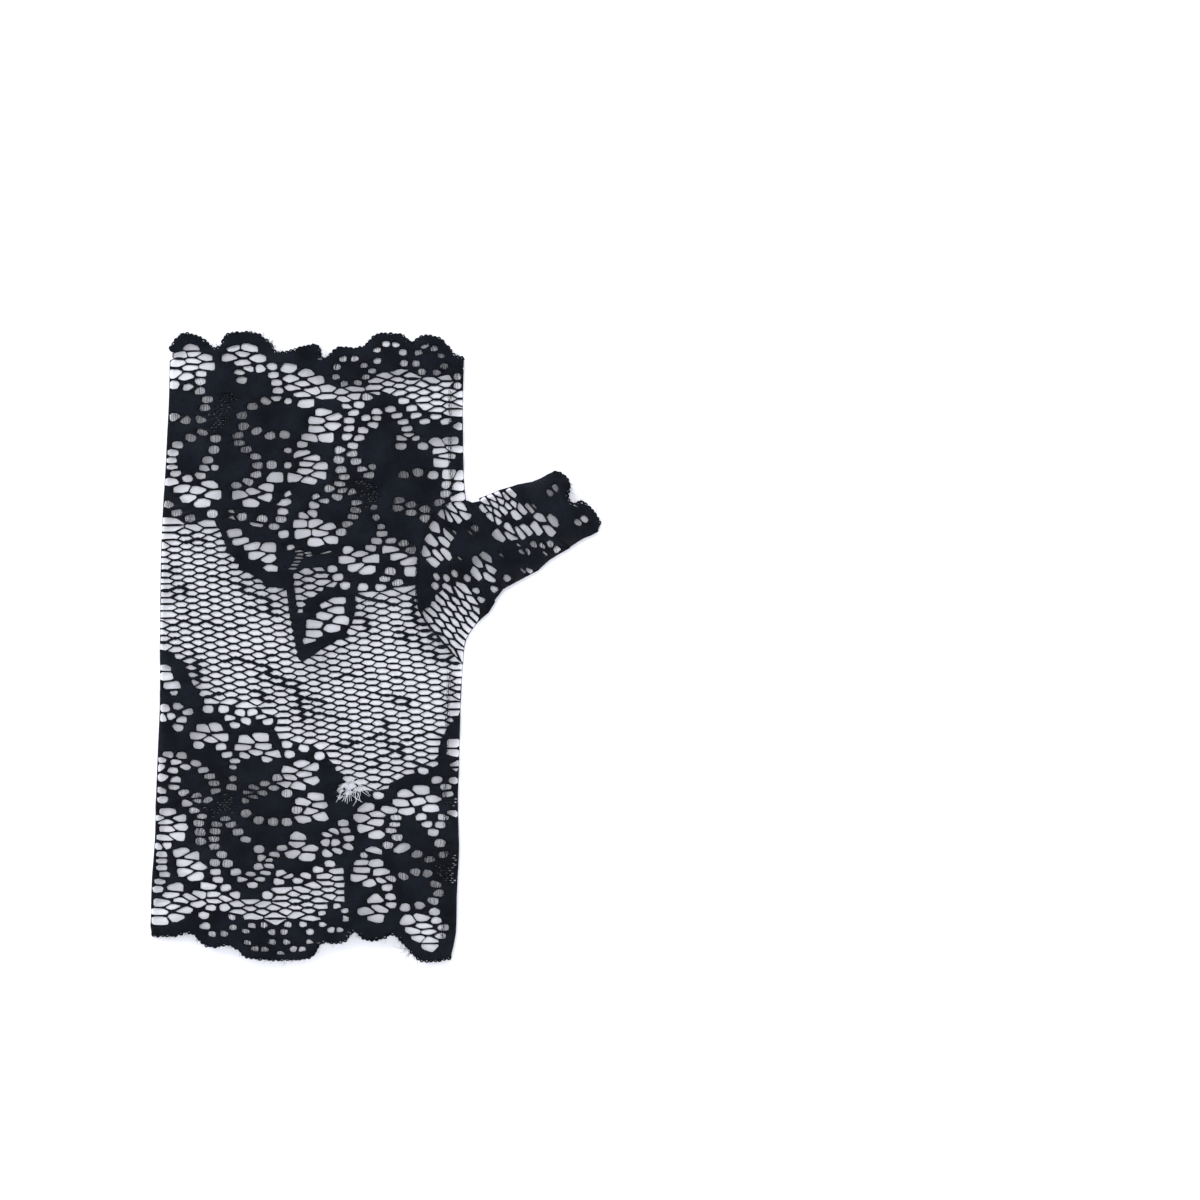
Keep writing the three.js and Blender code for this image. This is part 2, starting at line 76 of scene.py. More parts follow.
LEFT_FOLD = [
    (152, 934), (151, 920), (152, 880), (155, 840), (156, 800), (158, 750), (160, 700), (160, 640),
    (161, 560), (163, 510), (165, 480), (167, 440), (169, 400), (170, 350),
]
FINGER_EDGE = [
    (170, 350), (176, 341), (182, 335), (192, 335), (203, 340), (208, 345), (213, 349), (220, 348),
    (223, 343), (226, 336), (237, 334), (245, 333), (258, 335), (266, 341), (271, 346), (275, 353),
    (281, 354), (292, 352), (300, 348), (308, 347), (316, 346), (319.5, 350), (321, 360), (327, 359),
    (333, 354), (339, 348), (350, 349), (361, 349), (366, 347), (370, 342), (375, 337), (381, 334),
    (389, 335), (398, 335), (405, 338), (409, 343), (414, 343), (420, 338), (425, 336), (431, 337),
    (441, 340), (447, 346), (454, 356), (464, 359),
]
RIGHT_FOLD_TOP = [(464, 359), (463, 400), (463, 430), (464, 480), (466, 501)]
SEAM_LINE = [
    (466, 501), (448, 503), (434, 515), (424, 535), (419, 560), (417, 585), (421, 613), (437, 635),
    (452, 652), (463, 664),
]
RIGHT_FOLD_LOW = [
    (463, 664), (462, 680), (461, 700), (460, 730), (459, 770), (458, 800), (459, 850), (457, 890),
    (456, 930), (451, 957),
]
WRIST_EDGE = [
    (451, 957), (441, 959), (431, 960), (420, 959), (410, 949), (403, 941), (395, 934), (389, 933),
    (381, 938), (364, 938), (361, 934), (354, 930), (350, 932), (345, 940), (330, 942), (321, 941),
    (318, 946), (314, 953), (305, 958), (285, 959), (262, 958), (248, 956), (239, 949), (229, 944),
    (213, 946), (204, 943), (197, 935), (187, 931), (178, 934), (162, 935), (152, 934),
]
THUMB_UPPER_FOLD = [
    (466, 501), (475, 500), (480, 498), (490, 494), (500, 490), (510, 487), (520, 484), (535, 481),
    (545, 476), (553, 472),
]
THUMB_MOUTH = [
    (553, 472), (560, 474), (566, 479), (570, 485), (567, 492), (567, 498), (573, 506), (580, 502),
    (587, 506), (595, 515), (600, 525),
]
THUMB_LOWER_FOLD = [
    (600, 525), (595, 533), (580, 540), (567, 549), (552, 558), (538, 570), (522, 579), (505, 588),
    (496, 598), (490, 610), (478, 622), (471, 631), (466, 640), (464, 650), (463, 664),
]
MITTEN_OUTLINE = (LEFT_FOLD + FINGER_EDGE + RIGHT_FOLD_TOP + THUMB_UPPER_FOLD + THUMB_MOUTH + THUMB_LOWER_FOLD
                  + RIGHT_FOLD_LOW + WRIST_EDGE)
SIDE_SEAM_INSET = np.array((3.9, 0.0))  # how far the side seams lie inside the fold, in millimetres

# Thick petals and dots: middle, length, breadth, and turn of the length clockwise from the x axis
PETALS = [
    (222, 376, 46, 28, 90), (253, 390, 42, 27, -30), (270, 417, 42, 22, 0), (267, 447, 44, 17, 15),
    (235, 463, 46, 28, 78), (196, 456, 34, 26, 135), (180, 431, 30, 14, 170), (184, 402, 34, 20, 10),
    (382, 440, 48, 34, -70), (413, 459, 38, 21, -4), (419, 490, 50, 19, 3), (405, 528, 46, 24, 18),
    (365, 530, 40, 28, 115), (334, 513, 32, 19, -12), (384, 492, 30, 26, 90), (215, 765, 46, 21, 62),
    (257, 771, 42, 26, -22), (193, 781, 30, 19, 25), (272, 806, 54, 21, -3), (266, 834, 46, 26, 22),
    (241, 853, 44, 21, 45), (169, 739, 26, 24, 0), (168, 805, 24, 11, 0), (414, 836, 40, 24, 50),
    (403, 862, 44, 16, 6), (415, 891, 42, 22, 0),
]
DOTS = [
    (350, 371, 22, 18), (390, 361, 20, 22), (431, 361, 22, 20), (217, 921, 23, 18), (259, 939, 18, 15),
    (297, 938, 18, 15), (333, 917, 20, 17),
]

# Gimp bands, the thick outlines: breadth and route
BANDS = [
    (9, [(163, 487), (172, 496), (183, 505), (195, 510), (208, 509), (218, 502), (224, 494)]),
    (9, [(226, 500), (238, 507), (252, 511), (266, 506), (277, 497), (284, 484), (286, 470)]),
    (10, [(300, 404), (300, 430), (300, 460), (300, 490), (298, 505)]),
    (9, [(300, 405), (330, 405), (342, 415), (344, 430), (335, 443), (330, 455), (328, 470), (322, 483),
         (300, 488)]),
    (7, [(302, 446), (345, 441)]),
    (10, [(345, 445), (350, 432), (358, 418), (366, 408), (377, 401), (388, 399), (398, 404), (404, 411),
          (411, 421), (415, 430)]),
    (9, [(412, 424), (425, 431), (440, 431), (452, 433), (464, 436)]),
    (8, [(464, 436), (460, 450), (461, 466)]),
    (9, [(300, 488), (296, 505), (290, 520), (292, 538), (302, 547), (318, 549), (332, 546), (338, 556),
         (346, 568), (357, 576), (370, 577), (379, 570), (384, 556)]),
    (9, [(384, 557), (396, 566), (410, 571), (420, 562)]),
    (13, [(312, 560), (324, 561), (337, 564)]),
    (11, [(221, 500), (223, 515), (226, 530), (234, 548), (246, 563), (260, 573), (274, 581), (288, 584)]),
    (9, [(226, 522), (246, 528), (260, 533), (272, 541), (281, 556), (284, 575)]),
    (7, [(289, 575), (291, 590), (293, 610), (297, 632), (302, 655)]),
    (9, [(302, 634), (306, 615), (314, 604), (324, 595), (336, 591), (349, 588)]),
    (9, [(350, 588), (351, 606), (348, 620), (341, 631), (330, 639), (318, 646), (303, 656)]),
    (10, [(158, 654), (168, 658), (178, 668), (186, 681), (192, 695), (197, 708)]),
    (12, [(158, 692), (170, 700), (186, 698)]),
    (11, [(461, 720), (453, 730), (447, 742), (444, 757), (446, 771), (458, 778)]),
    (9, [(178, 762), (184, 745), (188, 728), (196, 719), (207, 715), (219, 719), (228, 729), (231, 742)]),
    (9, [(231, 742), (234, 731), (243, 725), (255, 724), (266, 728), (274, 738), (280, 751)]),
    (8, [(283, 757), (297, 757), (310, 757), (322, 760), (330, 770), (334, 783), (331, 795)]),
    (8, [(322, 793), (334, 800), (338, 812), (332, 824), (318, 830)]),
    (9, [(155, 806), (170, 806), (181, 812), (188, 825), (185, 840), (174, 850), (158, 850)]),
    (8, [(208, 858), (210, 868), (204, 880), (192, 887), (178, 880), (170, 868), (160, 858)]),
    (9, [(222, 868), (229, 879), (240, 888), (253, 892), (264, 889), (272, 880), (276, 868)]),
    (9, [(276, 866), (290, 865), (305, 863), (317, 857), (321, 846), (318, 835), (308, 829), (295, 828)]),
    (10, [(384, 806), (391, 793), (402, 783), (415, 778), (430, 780), (443, 787), (451, 799)]),
    (12, [(345, 803), (358, 798), (372, 796), (384, 800)]),
    (10, [(350, 800), (352, 830), (347, 850), (350, 880), (350, 900), (357, 925)]),
    (9, [(352, 830), (360, 840), (372, 843), (382, 840)]),
    (9, [(350, 850), (349, 880), (357, 888), (368, 893), (380, 894)]),
    (8, [(357, 895), (356, 910), (362, 922), (376, 927), (388, 922), (391, 912)]),
    (10, [(392, 912), (402, 925), (410, 938), (420, 950)]),
    (9, [(453, 800), (454, 850), (453, 900), (452, 950)]),
    (9, [(152, 925), (170, 927), (187, 925), (190, 905), (187, 888)]),
]
EDGE_BAND = 10  # breadth of the gimp along the scalloped edges

# Closed ground of the flowers, pierced only by its windows and eyelets
FIELDS = [
    [(172, 346), (190, 336), (210, 348), (245, 334), (276, 352), (296, 352), (318, 350), (320, 364),
     (318, 392), (304, 406), (302, 487), (284, 490), (268, 508), (245, 512), (222, 502), (205, 512),
     (183, 507), (164, 492), (165, 440), (169, 400)],
    [(300, 404), (330, 402), (346, 415), (347, 432), (338, 446), (332, 470), (322, 488), (300, 490)],
    [(345, 445), (356, 416), (372, 400), (388, 394), (402, 402), (414, 424), (440, 428), (464, 434),
     (464, 501), (448, 503), (434, 515), (424, 535), (420, 562), (408, 572), (384, 560), (374, 580),
     (350, 576), (334, 552), (304, 551), (288, 537), (290, 510), (298, 492), (325, 490), (346, 476)],
    [(158, 724), (188, 722), (207, 712), (228, 722), (250, 722), (272, 728), (283, 754), (310, 754),
     (334, 765), (336, 795), (342, 812), (336, 828), (322, 842), (322, 862), (280, 870), (268, 890),
     (245, 893), (222, 880), (204, 890), (186, 890), (168, 922), (152, 926), (153, 880), (156, 800)],
    [(346, 798), (384, 795), (400, 780), (430, 776), (452, 795), (458, 800), (459, 890), (456, 930),
     (450, 957), (420, 958), (400, 932), (380, 930), (357, 926), (348, 900)],
]
# Large openings between petals and outlines, one by one
WINDOWS = [
    (192, 348), (182, 355), (193, 354.5), (204, 357), (179, 363), (193, 361), (174, 374), (187, 376),
    (191, 367.5), (207, 367), (232, 349), (250, 349), (242, 354), (231, 357), (258, 358), (243, 363),
    (289, 369), (306, 374), (291, 379), (302, 384), (316, 380), (293, 388), (302, 394.5), (312, 391),
    (306, 402), (182, 489), (198, 490), (210, 484), (188, 498), (202, 502), (213, 495), (275, 478),
    (267, 488), (254, 492), (241, 495), (251, 502), (264, 497), (170, 481), (324, 413), (334, 417),
    (317, 421), (317, 429), (333, 426), (310, 438), (325, 437), (302, 453), (312, 458), (308, 464),
    (320, 466), (306, 472), (318, 475), (296, 477), (309, 479.5), (437, 443), (450, 442), (441, 451),
    (455, 449), (447, 456), (442, 462), (456, 486), (460, 476), (459, 498), (450, 475), (302, 523),
    (315, 523), (328, 527), (303, 534), (320, 533), (316, 541), (330, 539), (347, 560), (360, 554),
    (371, 559), (356, 567), (367, 569), (391, 549), (399, 556), (409, 561), (413, 571), (415, 583),
    (241, 541), (252, 547), (257, 555), (270, 558), (268, 548), (234, 534), (325, 616), (315, 625),
    (314, 634), (336, 610), (341, 620), (332, 628), (165, 676), (172, 686), (205, 729), (215, 728),
    (198, 736), (211, 739), (220, 737), (247, 740), (261, 738), (243, 747), (263, 746), (255, 753),
    (273, 755), (302, 765), (311, 768), (290, 770), (304, 774), (289, 777.5), (285, 784), (298, 785),
    (312, 780), (316, 798), (304, 802), (320, 805), (310, 811), (320, 816), (303, 819), (168, 814),
    (178, 818), (158, 818), (167, 821), (168, 829), (180, 827), (158, 829), (165, 838), (177, 836),
    (181, 853), (191, 856), (185, 862), (199, 866), (186, 872), (196, 875), (299, 837), (297, 844.5),
    (310, 848), (293, 853), (307, 856), (175, 888), (171, 895), (182, 900), (162, 903), (174, 906),
    (160, 912), (185, 909), (160, 919), (176, 917), (209, 886), (201, 895), (212, 895), (199, 904),
    (215, 900), (224, 898), (191, 898), (366, 808), (362, 818), (378, 814), (376, 822), (366, 828),
    (377, 833), (389, 811), (406, 794), (421, 791), (401, 802), (418, 801), (434, 799), (431, 808),
    (406, 812), (362, 862), (375, 863), (381, 872), (362, 870), (359, 877), (371, 882), (376, 899),
    (366, 911), (380, 908), (376, 918), (408, 920), (422, 918), (424, 926), (414, 931), (429, 932),
    (418, 938), (430, 940), (430, 947), (455, 744), (455, 752), (374, 850), (402, 848),
]
# Round and oval eyelets along the petals and outlines, one by one
EYELETS = [
    (201, 374), (200, 381), (174, 385), (188, 387), (200, 391), (208, 400), (205, 408), (175, 417),
    (186, 420), (201, 419), (203, 432), (191, 438), (178, 445), (173, 453), (171, 461), (172, 467),
    (176, 474), (187, 478), (200, 476), (208, 461), (205, 468), (216, 438), (214, 450), (240, 372),
    (249, 369), (242, 380), (261, 369), (272, 367), (274, 375), (277, 383), (278, 391), (276, 399),
    (266, 401), (253, 406), (242, 415), (244, 427), (257, 431), (270, 436), (285, 435), (238, 436),
    (240, 443), (246, 450), (256, 457), (258, 465), (272, 465), (256, 475), (248, 482), (237, 485),
    (168, 505), (177, 513), (190, 518), (212, 514), (303, 445), (368, 397), (359, 405), (354, 413),
    (349, 421), (349, 429), (347, 437), (404, 401), (412, 408), (416, 416), (425, 421), (436, 417),
    (446, 421), (459, 426), (377, 412), (390, 410), (367, 418), (376, 418), (373, 425), (363, 430),
    (359, 438), (353, 446), (352, 454), (356, 461), (363, 469), (369, 475), (397, 416), (403, 422),
    (407, 429), (409, 436), (402, 438), (401, 446), (423, 446), (404, 475), (418, 473), (433, 475),
    (447, 485), (446, 494), (340, 450), (339, 460), (341, 470), (344, 477), (340, 484), (330, 489),
    (337, 497), (343, 491), (352, 492), (324, 500), (314, 505), (357, 503), (356, 510), (353, 517),
    (347, 524), (341, 532), (304, 515), (312, 514), (382, 534), (377, 541), (391, 541), (404, 544),
    (411, 550), (400, 501), (398, 508), (411, 505), (411, 513), (425, 509), (425, 518), (439, 503),
    (348, 550), (371, 548), (332, 569), (338, 577), (345, 585), (363, 587), (381, 587), (385, 579),
    (390, 572), (398, 583), (242, 517), (262, 519), (283, 512), (281, 519), (274, 527), (284, 534),
    (165, 708), (178, 707), (188, 712), (170, 717), (163, 717), (181, 719), (178, 727), (208, 709),
    (224, 709), (240, 713), (253, 713), (230, 718), (246, 721), (235, 724), (261, 717), (268, 721),
    (287, 744), (290, 754), (304, 748), (320, 756), (199, 744), (221, 747), (227, 754), (245, 755),
    (267, 758), (235, 761), (231, 787), (168, 755), (182, 756), (161, 759), (176, 762), (186, 766),
    (196, 764), (173, 770), (160, 767), (163, 777), (175, 780), (204, 770), (210, 776), (214, 784),
    (216, 791), (174, 787), (184, 792), (161, 791), (163, 799), (196, 796), (187, 803), (208, 800),
    (198, 800), (278, 778), (265, 784), (254, 788), (248, 792), (274, 787), (262, 793), (253, 796),
    (287, 793), (297, 810), (287, 822), (273, 822), (259, 820), (246, 813), (158, 846), (166, 845),
    (162, 855), (162, 861), (162, 868), (165, 874), (160, 881), (158, 889), (195, 810), (203, 816),
    (199, 823), (200, 832), (201, 841), (217, 824), (215, 831), (214, 839), (215, 846), (222, 854),
    (228, 863), (215, 863), (216, 872), (218, 880), (226, 888), (235, 895), (236, 872), (242, 879),
    (251, 875), (259, 867), (269, 866), (266, 873), (260, 879), (253, 884), (263, 858), (275, 855),
    (259, 849), (231, 824), (238, 832), (246, 839), (225, 819), (282, 848), (327, 834), (334, 831),
    (326, 842), (335, 842), (337, 851), (328, 853), (330, 864), (343, 823), (318, 870), (281, 873),
    (288, 876), (298, 879), (306, 876), (279, 881), (211, 907), (225, 907), (204, 915), (205, 926),
    (268, 895), (345, 831), (349, 838), (348, 846), (378, 795), (421, 817), (396, 817), (395, 824),
    (391, 830), (397, 837), (388, 845), (417, 854), (430, 860), (444, 855), (440, 843), (433, 832),
    (427, 824), (440, 825), (443, 817), (453, 813), (381, 881), (391, 878), (403, 876), (415, 872),
    (428, 873), (436, 884), (439, 893), (433, 901), (420, 905), (405, 907), (391, 905), (390, 897),
    (387, 887), (434, 911), (437, 921), (443, 927), (440, 936), (423, 770), (437, 780), (455, 781),
    (446, 786), (448, 795),
]
# The small eyelets round the border's dots and in the closest corners
PINHOLES = [
    (343, 359), (355, 359), (337, 367), (364, 366), (336, 377), (366, 377), (344, 384), (358, 383),
    (377, 350), (377, 361), (386, 344), (396, 344), (403, 352), (404, 363), (372, 371), (425, 346),
    (434, 348), (442, 356), (444, 367), (437, 373), (422, 372), (416, 364), (419, 353), (458, 377),
    (457, 386), (194, 744), (233, 767), (233, 778), (245, 800), (174, 693), (364, 855), (212, 934),
    (224, 934), (233, 927), (232, 917), (246, 931), (252, 925), (264, 925), (272, 932), (272, 942),
    (265, 949), (255, 949), (248, 943), (288, 925), (303, 924), (310, 931), (310, 942), (302, 949),
    (294, 949), (287, 942), (284, 932), (281, 954), (323, 924), (322, 913), (331, 930), (340, 930),
    (337, 906), (345, 910), (269, 859), (215, 467), (373, 507), (376, 517), (381, 527), (316, 497),
    (291, 548), (372, 467), (416, 438), (288, 451), (288, 465), (288, 401),
]
# Fine half-open mesh at the flowers' hearts and in the knots: middle and reach
MESH_SPOTS = [(214, 420, 13), (229, 402, 8), (364, 494, 14), (218, 807, 16), (448, 868, 15), (451, 803, 7)]
# Narrow slits between the level threads of the stem's root
SLITS = [
    (299, 551), (301, 554.5), (299, 558), (297, 561.5), (295, 565), (293, 568.5), (308, 552.5), (309, 556),
]
# Threads of the net that were pulled thicker
PULLED_THREADS = [
    [(412, 615), (418, 628), (430, 636), (440, 648), (452, 660)],
    [(414, 600), (408, 612), (416, 622)],
    [(236, 583), (245, 592), (258, 597), (264, 605), (270, 612), (272, 618), (280, 620)],
    [(246, 605), (258, 611)],
    [(355, 590), (366, 595), (380, 599), (388, 604), (395, 609)],
    [(393, 632), (401, 636), (408, 643)],
    [(222, 664), (233, 660), (250, 664), (262, 668), (270, 676), (285, 684), (290, 692), (294, 700),
     (296, 716)],
    [(254, 690), (261, 697), (270, 699)],
    [(205, 702), (213, 699), (224, 694)],
    [(306, 697), (325, 701)],
    [(382, 722), (386, 728), (393, 730)],
    [(367, 736), (376, 733), (383, 738)],
    [(336, 745), (350, 742), (358, 747)],
    [(396, 745), (401, 755), (399, 763)],
    [(410, 758), (420, 764), (432, 768)],
    [(436, 748), (441, 760)],
    [(163, 590), (178, 588), (190, 589)],
    [(171, 600), (178, 596)],
    [(205, 663), (198, 672), (200, 682)],
    [(185, 545), (196, 541), (205, 543)],
    [(352, 620), (362, 624), (368, 632)],
    [(428, 622), (436, 634), (447, 640)],
    [(430, 655), (445, 660), (460, 662)],
    [(300, 690), (299, 706), (303, 722)],
    [(398, 700), (412, 706)],
]

# The thumb's chart: its ground is closed, with openings and a patch of net at its root
THUMB_WINDOWS = [
    (436, 528), (432, 541), (444, 541), (447, 535), (427, 553), (438, 555), (446, 554), (433, 560),
    (442, 512), (448, 516), (452, 508), (456, 517), (460, 507), (464, 514), (521, 509), (515, 514),
    (499, 536), (509, 529), (511, 536), (520, 532), (526, 530), (540, 517), (537, 528), (549, 530),
    (553, 521), (478, 562), (486, 558), (476, 574), (490, 568), (488, 578),
]
# The thumb's one window of finer cells, near its upper fold
THUMB_FINE_WINDOW = [
    (486, 502), (492, 498), (498, 494), (504, 490), (509, 488), (484, 509), (489, 508), (495, 504),
    (501, 501), (507, 497), (511, 494), (491, 516), (497, 513), (503, 510), (508, 506), (513, 503),
    (497, 519), (530, 508),
]
THUMB_EYELETS = [
    (475, 528), (534, 544), (542, 546), (550, 544), (557, 550), (571, 544), (578, 523), (584, 519),
    (555, 488), (550, 493), (522, 550), (527, 552), (494, 589), (476, 591), (481, 599), (529, 571),
    (507, 578), (437, 577), (435, 586), (467, 578), (512, 490), (446, 578), (455, 574),
]
THUMB_SLITS = [
    (460, 559), (471, 533), (523, 571), (519, 545), (545, 553), (501, 555), (455, 532), (534, 506),
]
THUMB_NET = [
    (463, 663), (440, 640), (422, 613), (431, 602), (440, 587), (450, 579), (458, 577), (468, 583),
    (475, 597), (480, 611), (477, 624), (466, 640),
]
THUMB_PETALS = [
    (462, 545, 40, 22, 50), (532, 558, 50, 12, -32), (544, 497, 36, 16, -15), (568, 522, 40, 16, -60),
    (508, 560, 34, 20, 60),
]
THUMB_BANDS = [
    (7, [(418, 590), (428, 598), (437, 586), (446, 572), (456, 566), (468, 560), (478, 551)]),
]


class Layer(Enum):
    """The two layers of the flattened tube."""

    UPPER = 1
    LOWER = -1


class Cell(IntEnum):
    """What a cell of the lace holds."""

    DENSE = 0
    NET = 1
    WINDOW = 2
    EYELET = 3
    MESH = 4
    OUTSIDE = 5


@dataclass(frozen=True)
class Sort:
    """One sort of cell, in chart squares.

    The room and the hole are half their length and half their height. The crowding is the share of two
    neighbours' rooms that has to stay between them.
    """

    kind: Cell
    room: tuple
    hole: tuple = (0, 0)
    crowding: float = 0.3


HAND_WINDOW = Sort(Cell.WINDOW, (12.2, 8.4), (8.6, 5.7))
HAND_EYELET = Sort(Cell.EYELET, (10.0, 7.8), (5.6, 4.3))
HAND_PINHOLE = Sort(Cell.EYELET, (7.0, 5.6), (4.0, 3.3))
HAND_SLIT = Sort(Cell.MESH, (8.0, 5.0), (4.6, 0.95))
THUMB_WINDOW = Sort(Cell.WINDOW, (12.2, 8.4), (7.4, 4.8))
THUMB_FINE_CELL = Sort(Cell.WINDOW, (8.4, 5.4), (6.0, 3.6))
THUMB_EYELET = Sort(Cell.EYELET, (8.0, 6.0), (4.0, 3.3))
THUMB_SLIT = Sort(Cell.EYELET, (4.0, 3.0), (3.4, 1.0))
FINE_MESH = Sort(Cell.MESH, (1.9, 1.2), (1.45, 0.6), 0.8)
OPEN_NET = Sort(Cell.NET, (6.0, 3.4), (99, 99), 0.7)  # its threads bound the hole, not an oval
GROUND = Sort(Cell.DENSE, (2.6, 2.2), crowding=1.0)
EDGE_ROW = Sort(Cell.DENSE, (2.2, 2.2), crowding=0.35)
BEYOND_EDGE = Sort(Cell.OUTSIDE, (0.4, 0.4), crowding=1e-6)
# How far from its corner each side of a hole starts, as a share: net holes are sharper than round ones
CORNER_CUTS = {Cell.NET: 0.13, Cell.WINDOW: 0.2}
ROUND_CORNER_CUT = 0.25


def to_mm(chart: np.ndarray) -> np.ndarray:
    """Turns chart squares into millimetres of the frame's plan.

    Args:
        chart: points with x to the right and y down, in squares.

    Returns:
        The same points in millimetres, with y up.
    """
    p = np.asarray(chart, float)
    x, y = p[..., 0] - CHART_MIDDLE[0], CHART_MIDDLE[1] - p[..., 1]
    return np.stack([x * SQUARE_MM, y * SQUARE_MM], -1)


def unit(vectors: np.ndarray) -> np.ndarray:
    """Scales vectors, along the last axis, to length one."""
    return vectors / np.maximum(np.linalg.norm(vectors, axis=-1, keepdims=True), 1e-9)


def run_along(line: np.ndarray) -> np.ndarray:
    """Gives how far along a line each of its points lies."""
    return np.concatenate([[0], np.cumsum(np.linalg.norm(np.diff(line, axis=0), axis=1))])


def even(route: list, step: float, closed_ends: bool = True) -> np.ndarray:
    """Spaces points evenly along a route.

    Args:
        route: the route's corners.
        step: the spacing asked for; it is fitted to the route's length.
        closed_ends: whether both ends of the route are points too.

    Returns:
        The points, from the first end to the last.
    """
    p = np.asarray(route, float)
    run = run_along(p)
    count = max(1, round(run[-1] / step))
    at = np.linspace(0, run[-1], count + 1)
    if not closed_ends:
        at = (at[1:] + at[:-1]) / 2
    return np.stack([np.interp(at, run, p[:, i]) for i in range(2)], -1)


def curved(route: list, parts: int = 4) -> np.ndarray:
    """Rounds a route with a smooth cubic curve that passes through its corners.

    Args:
        route: the corners.
        parts: how many pieces each stretch between corners is cut into.

    Returns:
        The points of the rounded route.
    """
    p = np.asarray(route, float)
    if len(p) < 3:
        return p
    q = np.vstack([2 * p[0] - p[1], p, 2 * p[-1] - p[-2]])
    t = np.linspace(0, 1, parts, endpoint=False)[:, None]
    pieces = []
    for a, b, c, d in zip(q[:-3], q[1:-2], q[2:-1], q[3:]):
        pieces.append(0.5 * (2 * b + (c - a) * t + (2 * a - 5 * b + 4 * c - d) * t**2
                             + (3 * b - a - 3 * c + d) * t**3))
    return np.vstack([*pieces, p[-1:]])


def inside(points: np.ndarray, outline: np.ndarray) -> np.ndarray:
    """Says which points lie inside a closed outline, by counting crossings.

    Args:
        points: the points to test.
        outline: the outline's corners.

    Returns:
        One truth value a point.
    """
    x, y = points[..., 0], points[..., 1]
    odd = np.zeros(x.shape, bool)
    for (ax, ay), (bx, by) in zip(outline, np.roll(outline, -1, axis=0)):
        if ay != by:
            crosses = (ay > y) != (by > y)
            odd ^= crosses & (x < (bx - ax) * (y - ay) / (by - ay) + ax)
    return odd


def nearest_on(points: np.ndarray, route: np.ndarray) -> tuple[np.ndarray, np.ndarray]:
    """Finds the nearest place on a route.

    Args:
        points: the points to start from.
        route: the route's corners.

    Returns:
        The distance to the route and the nearest place on it, for each point.
    """
    a, b = route[:-1], route[1:]
    along = b - a
    long2 = np.maximum((along**2).sum(-1), 1e-12)
    best = np.full(len(points), np.inf)
    place = np.zeros((len(points), 2))
    for i in range(len(a)):
        t = np.clip(((points - a[i]) @ along[i]) / long2[i], 0, 1)
        spot = a[i] + t[:, None] * along[i]
        far = np.linalg.norm(points - spot, axis=1)
        nearer = far < best
        best[nearer] = far[nearer]
        place[nearer] = spot[nearer]
    return best, place


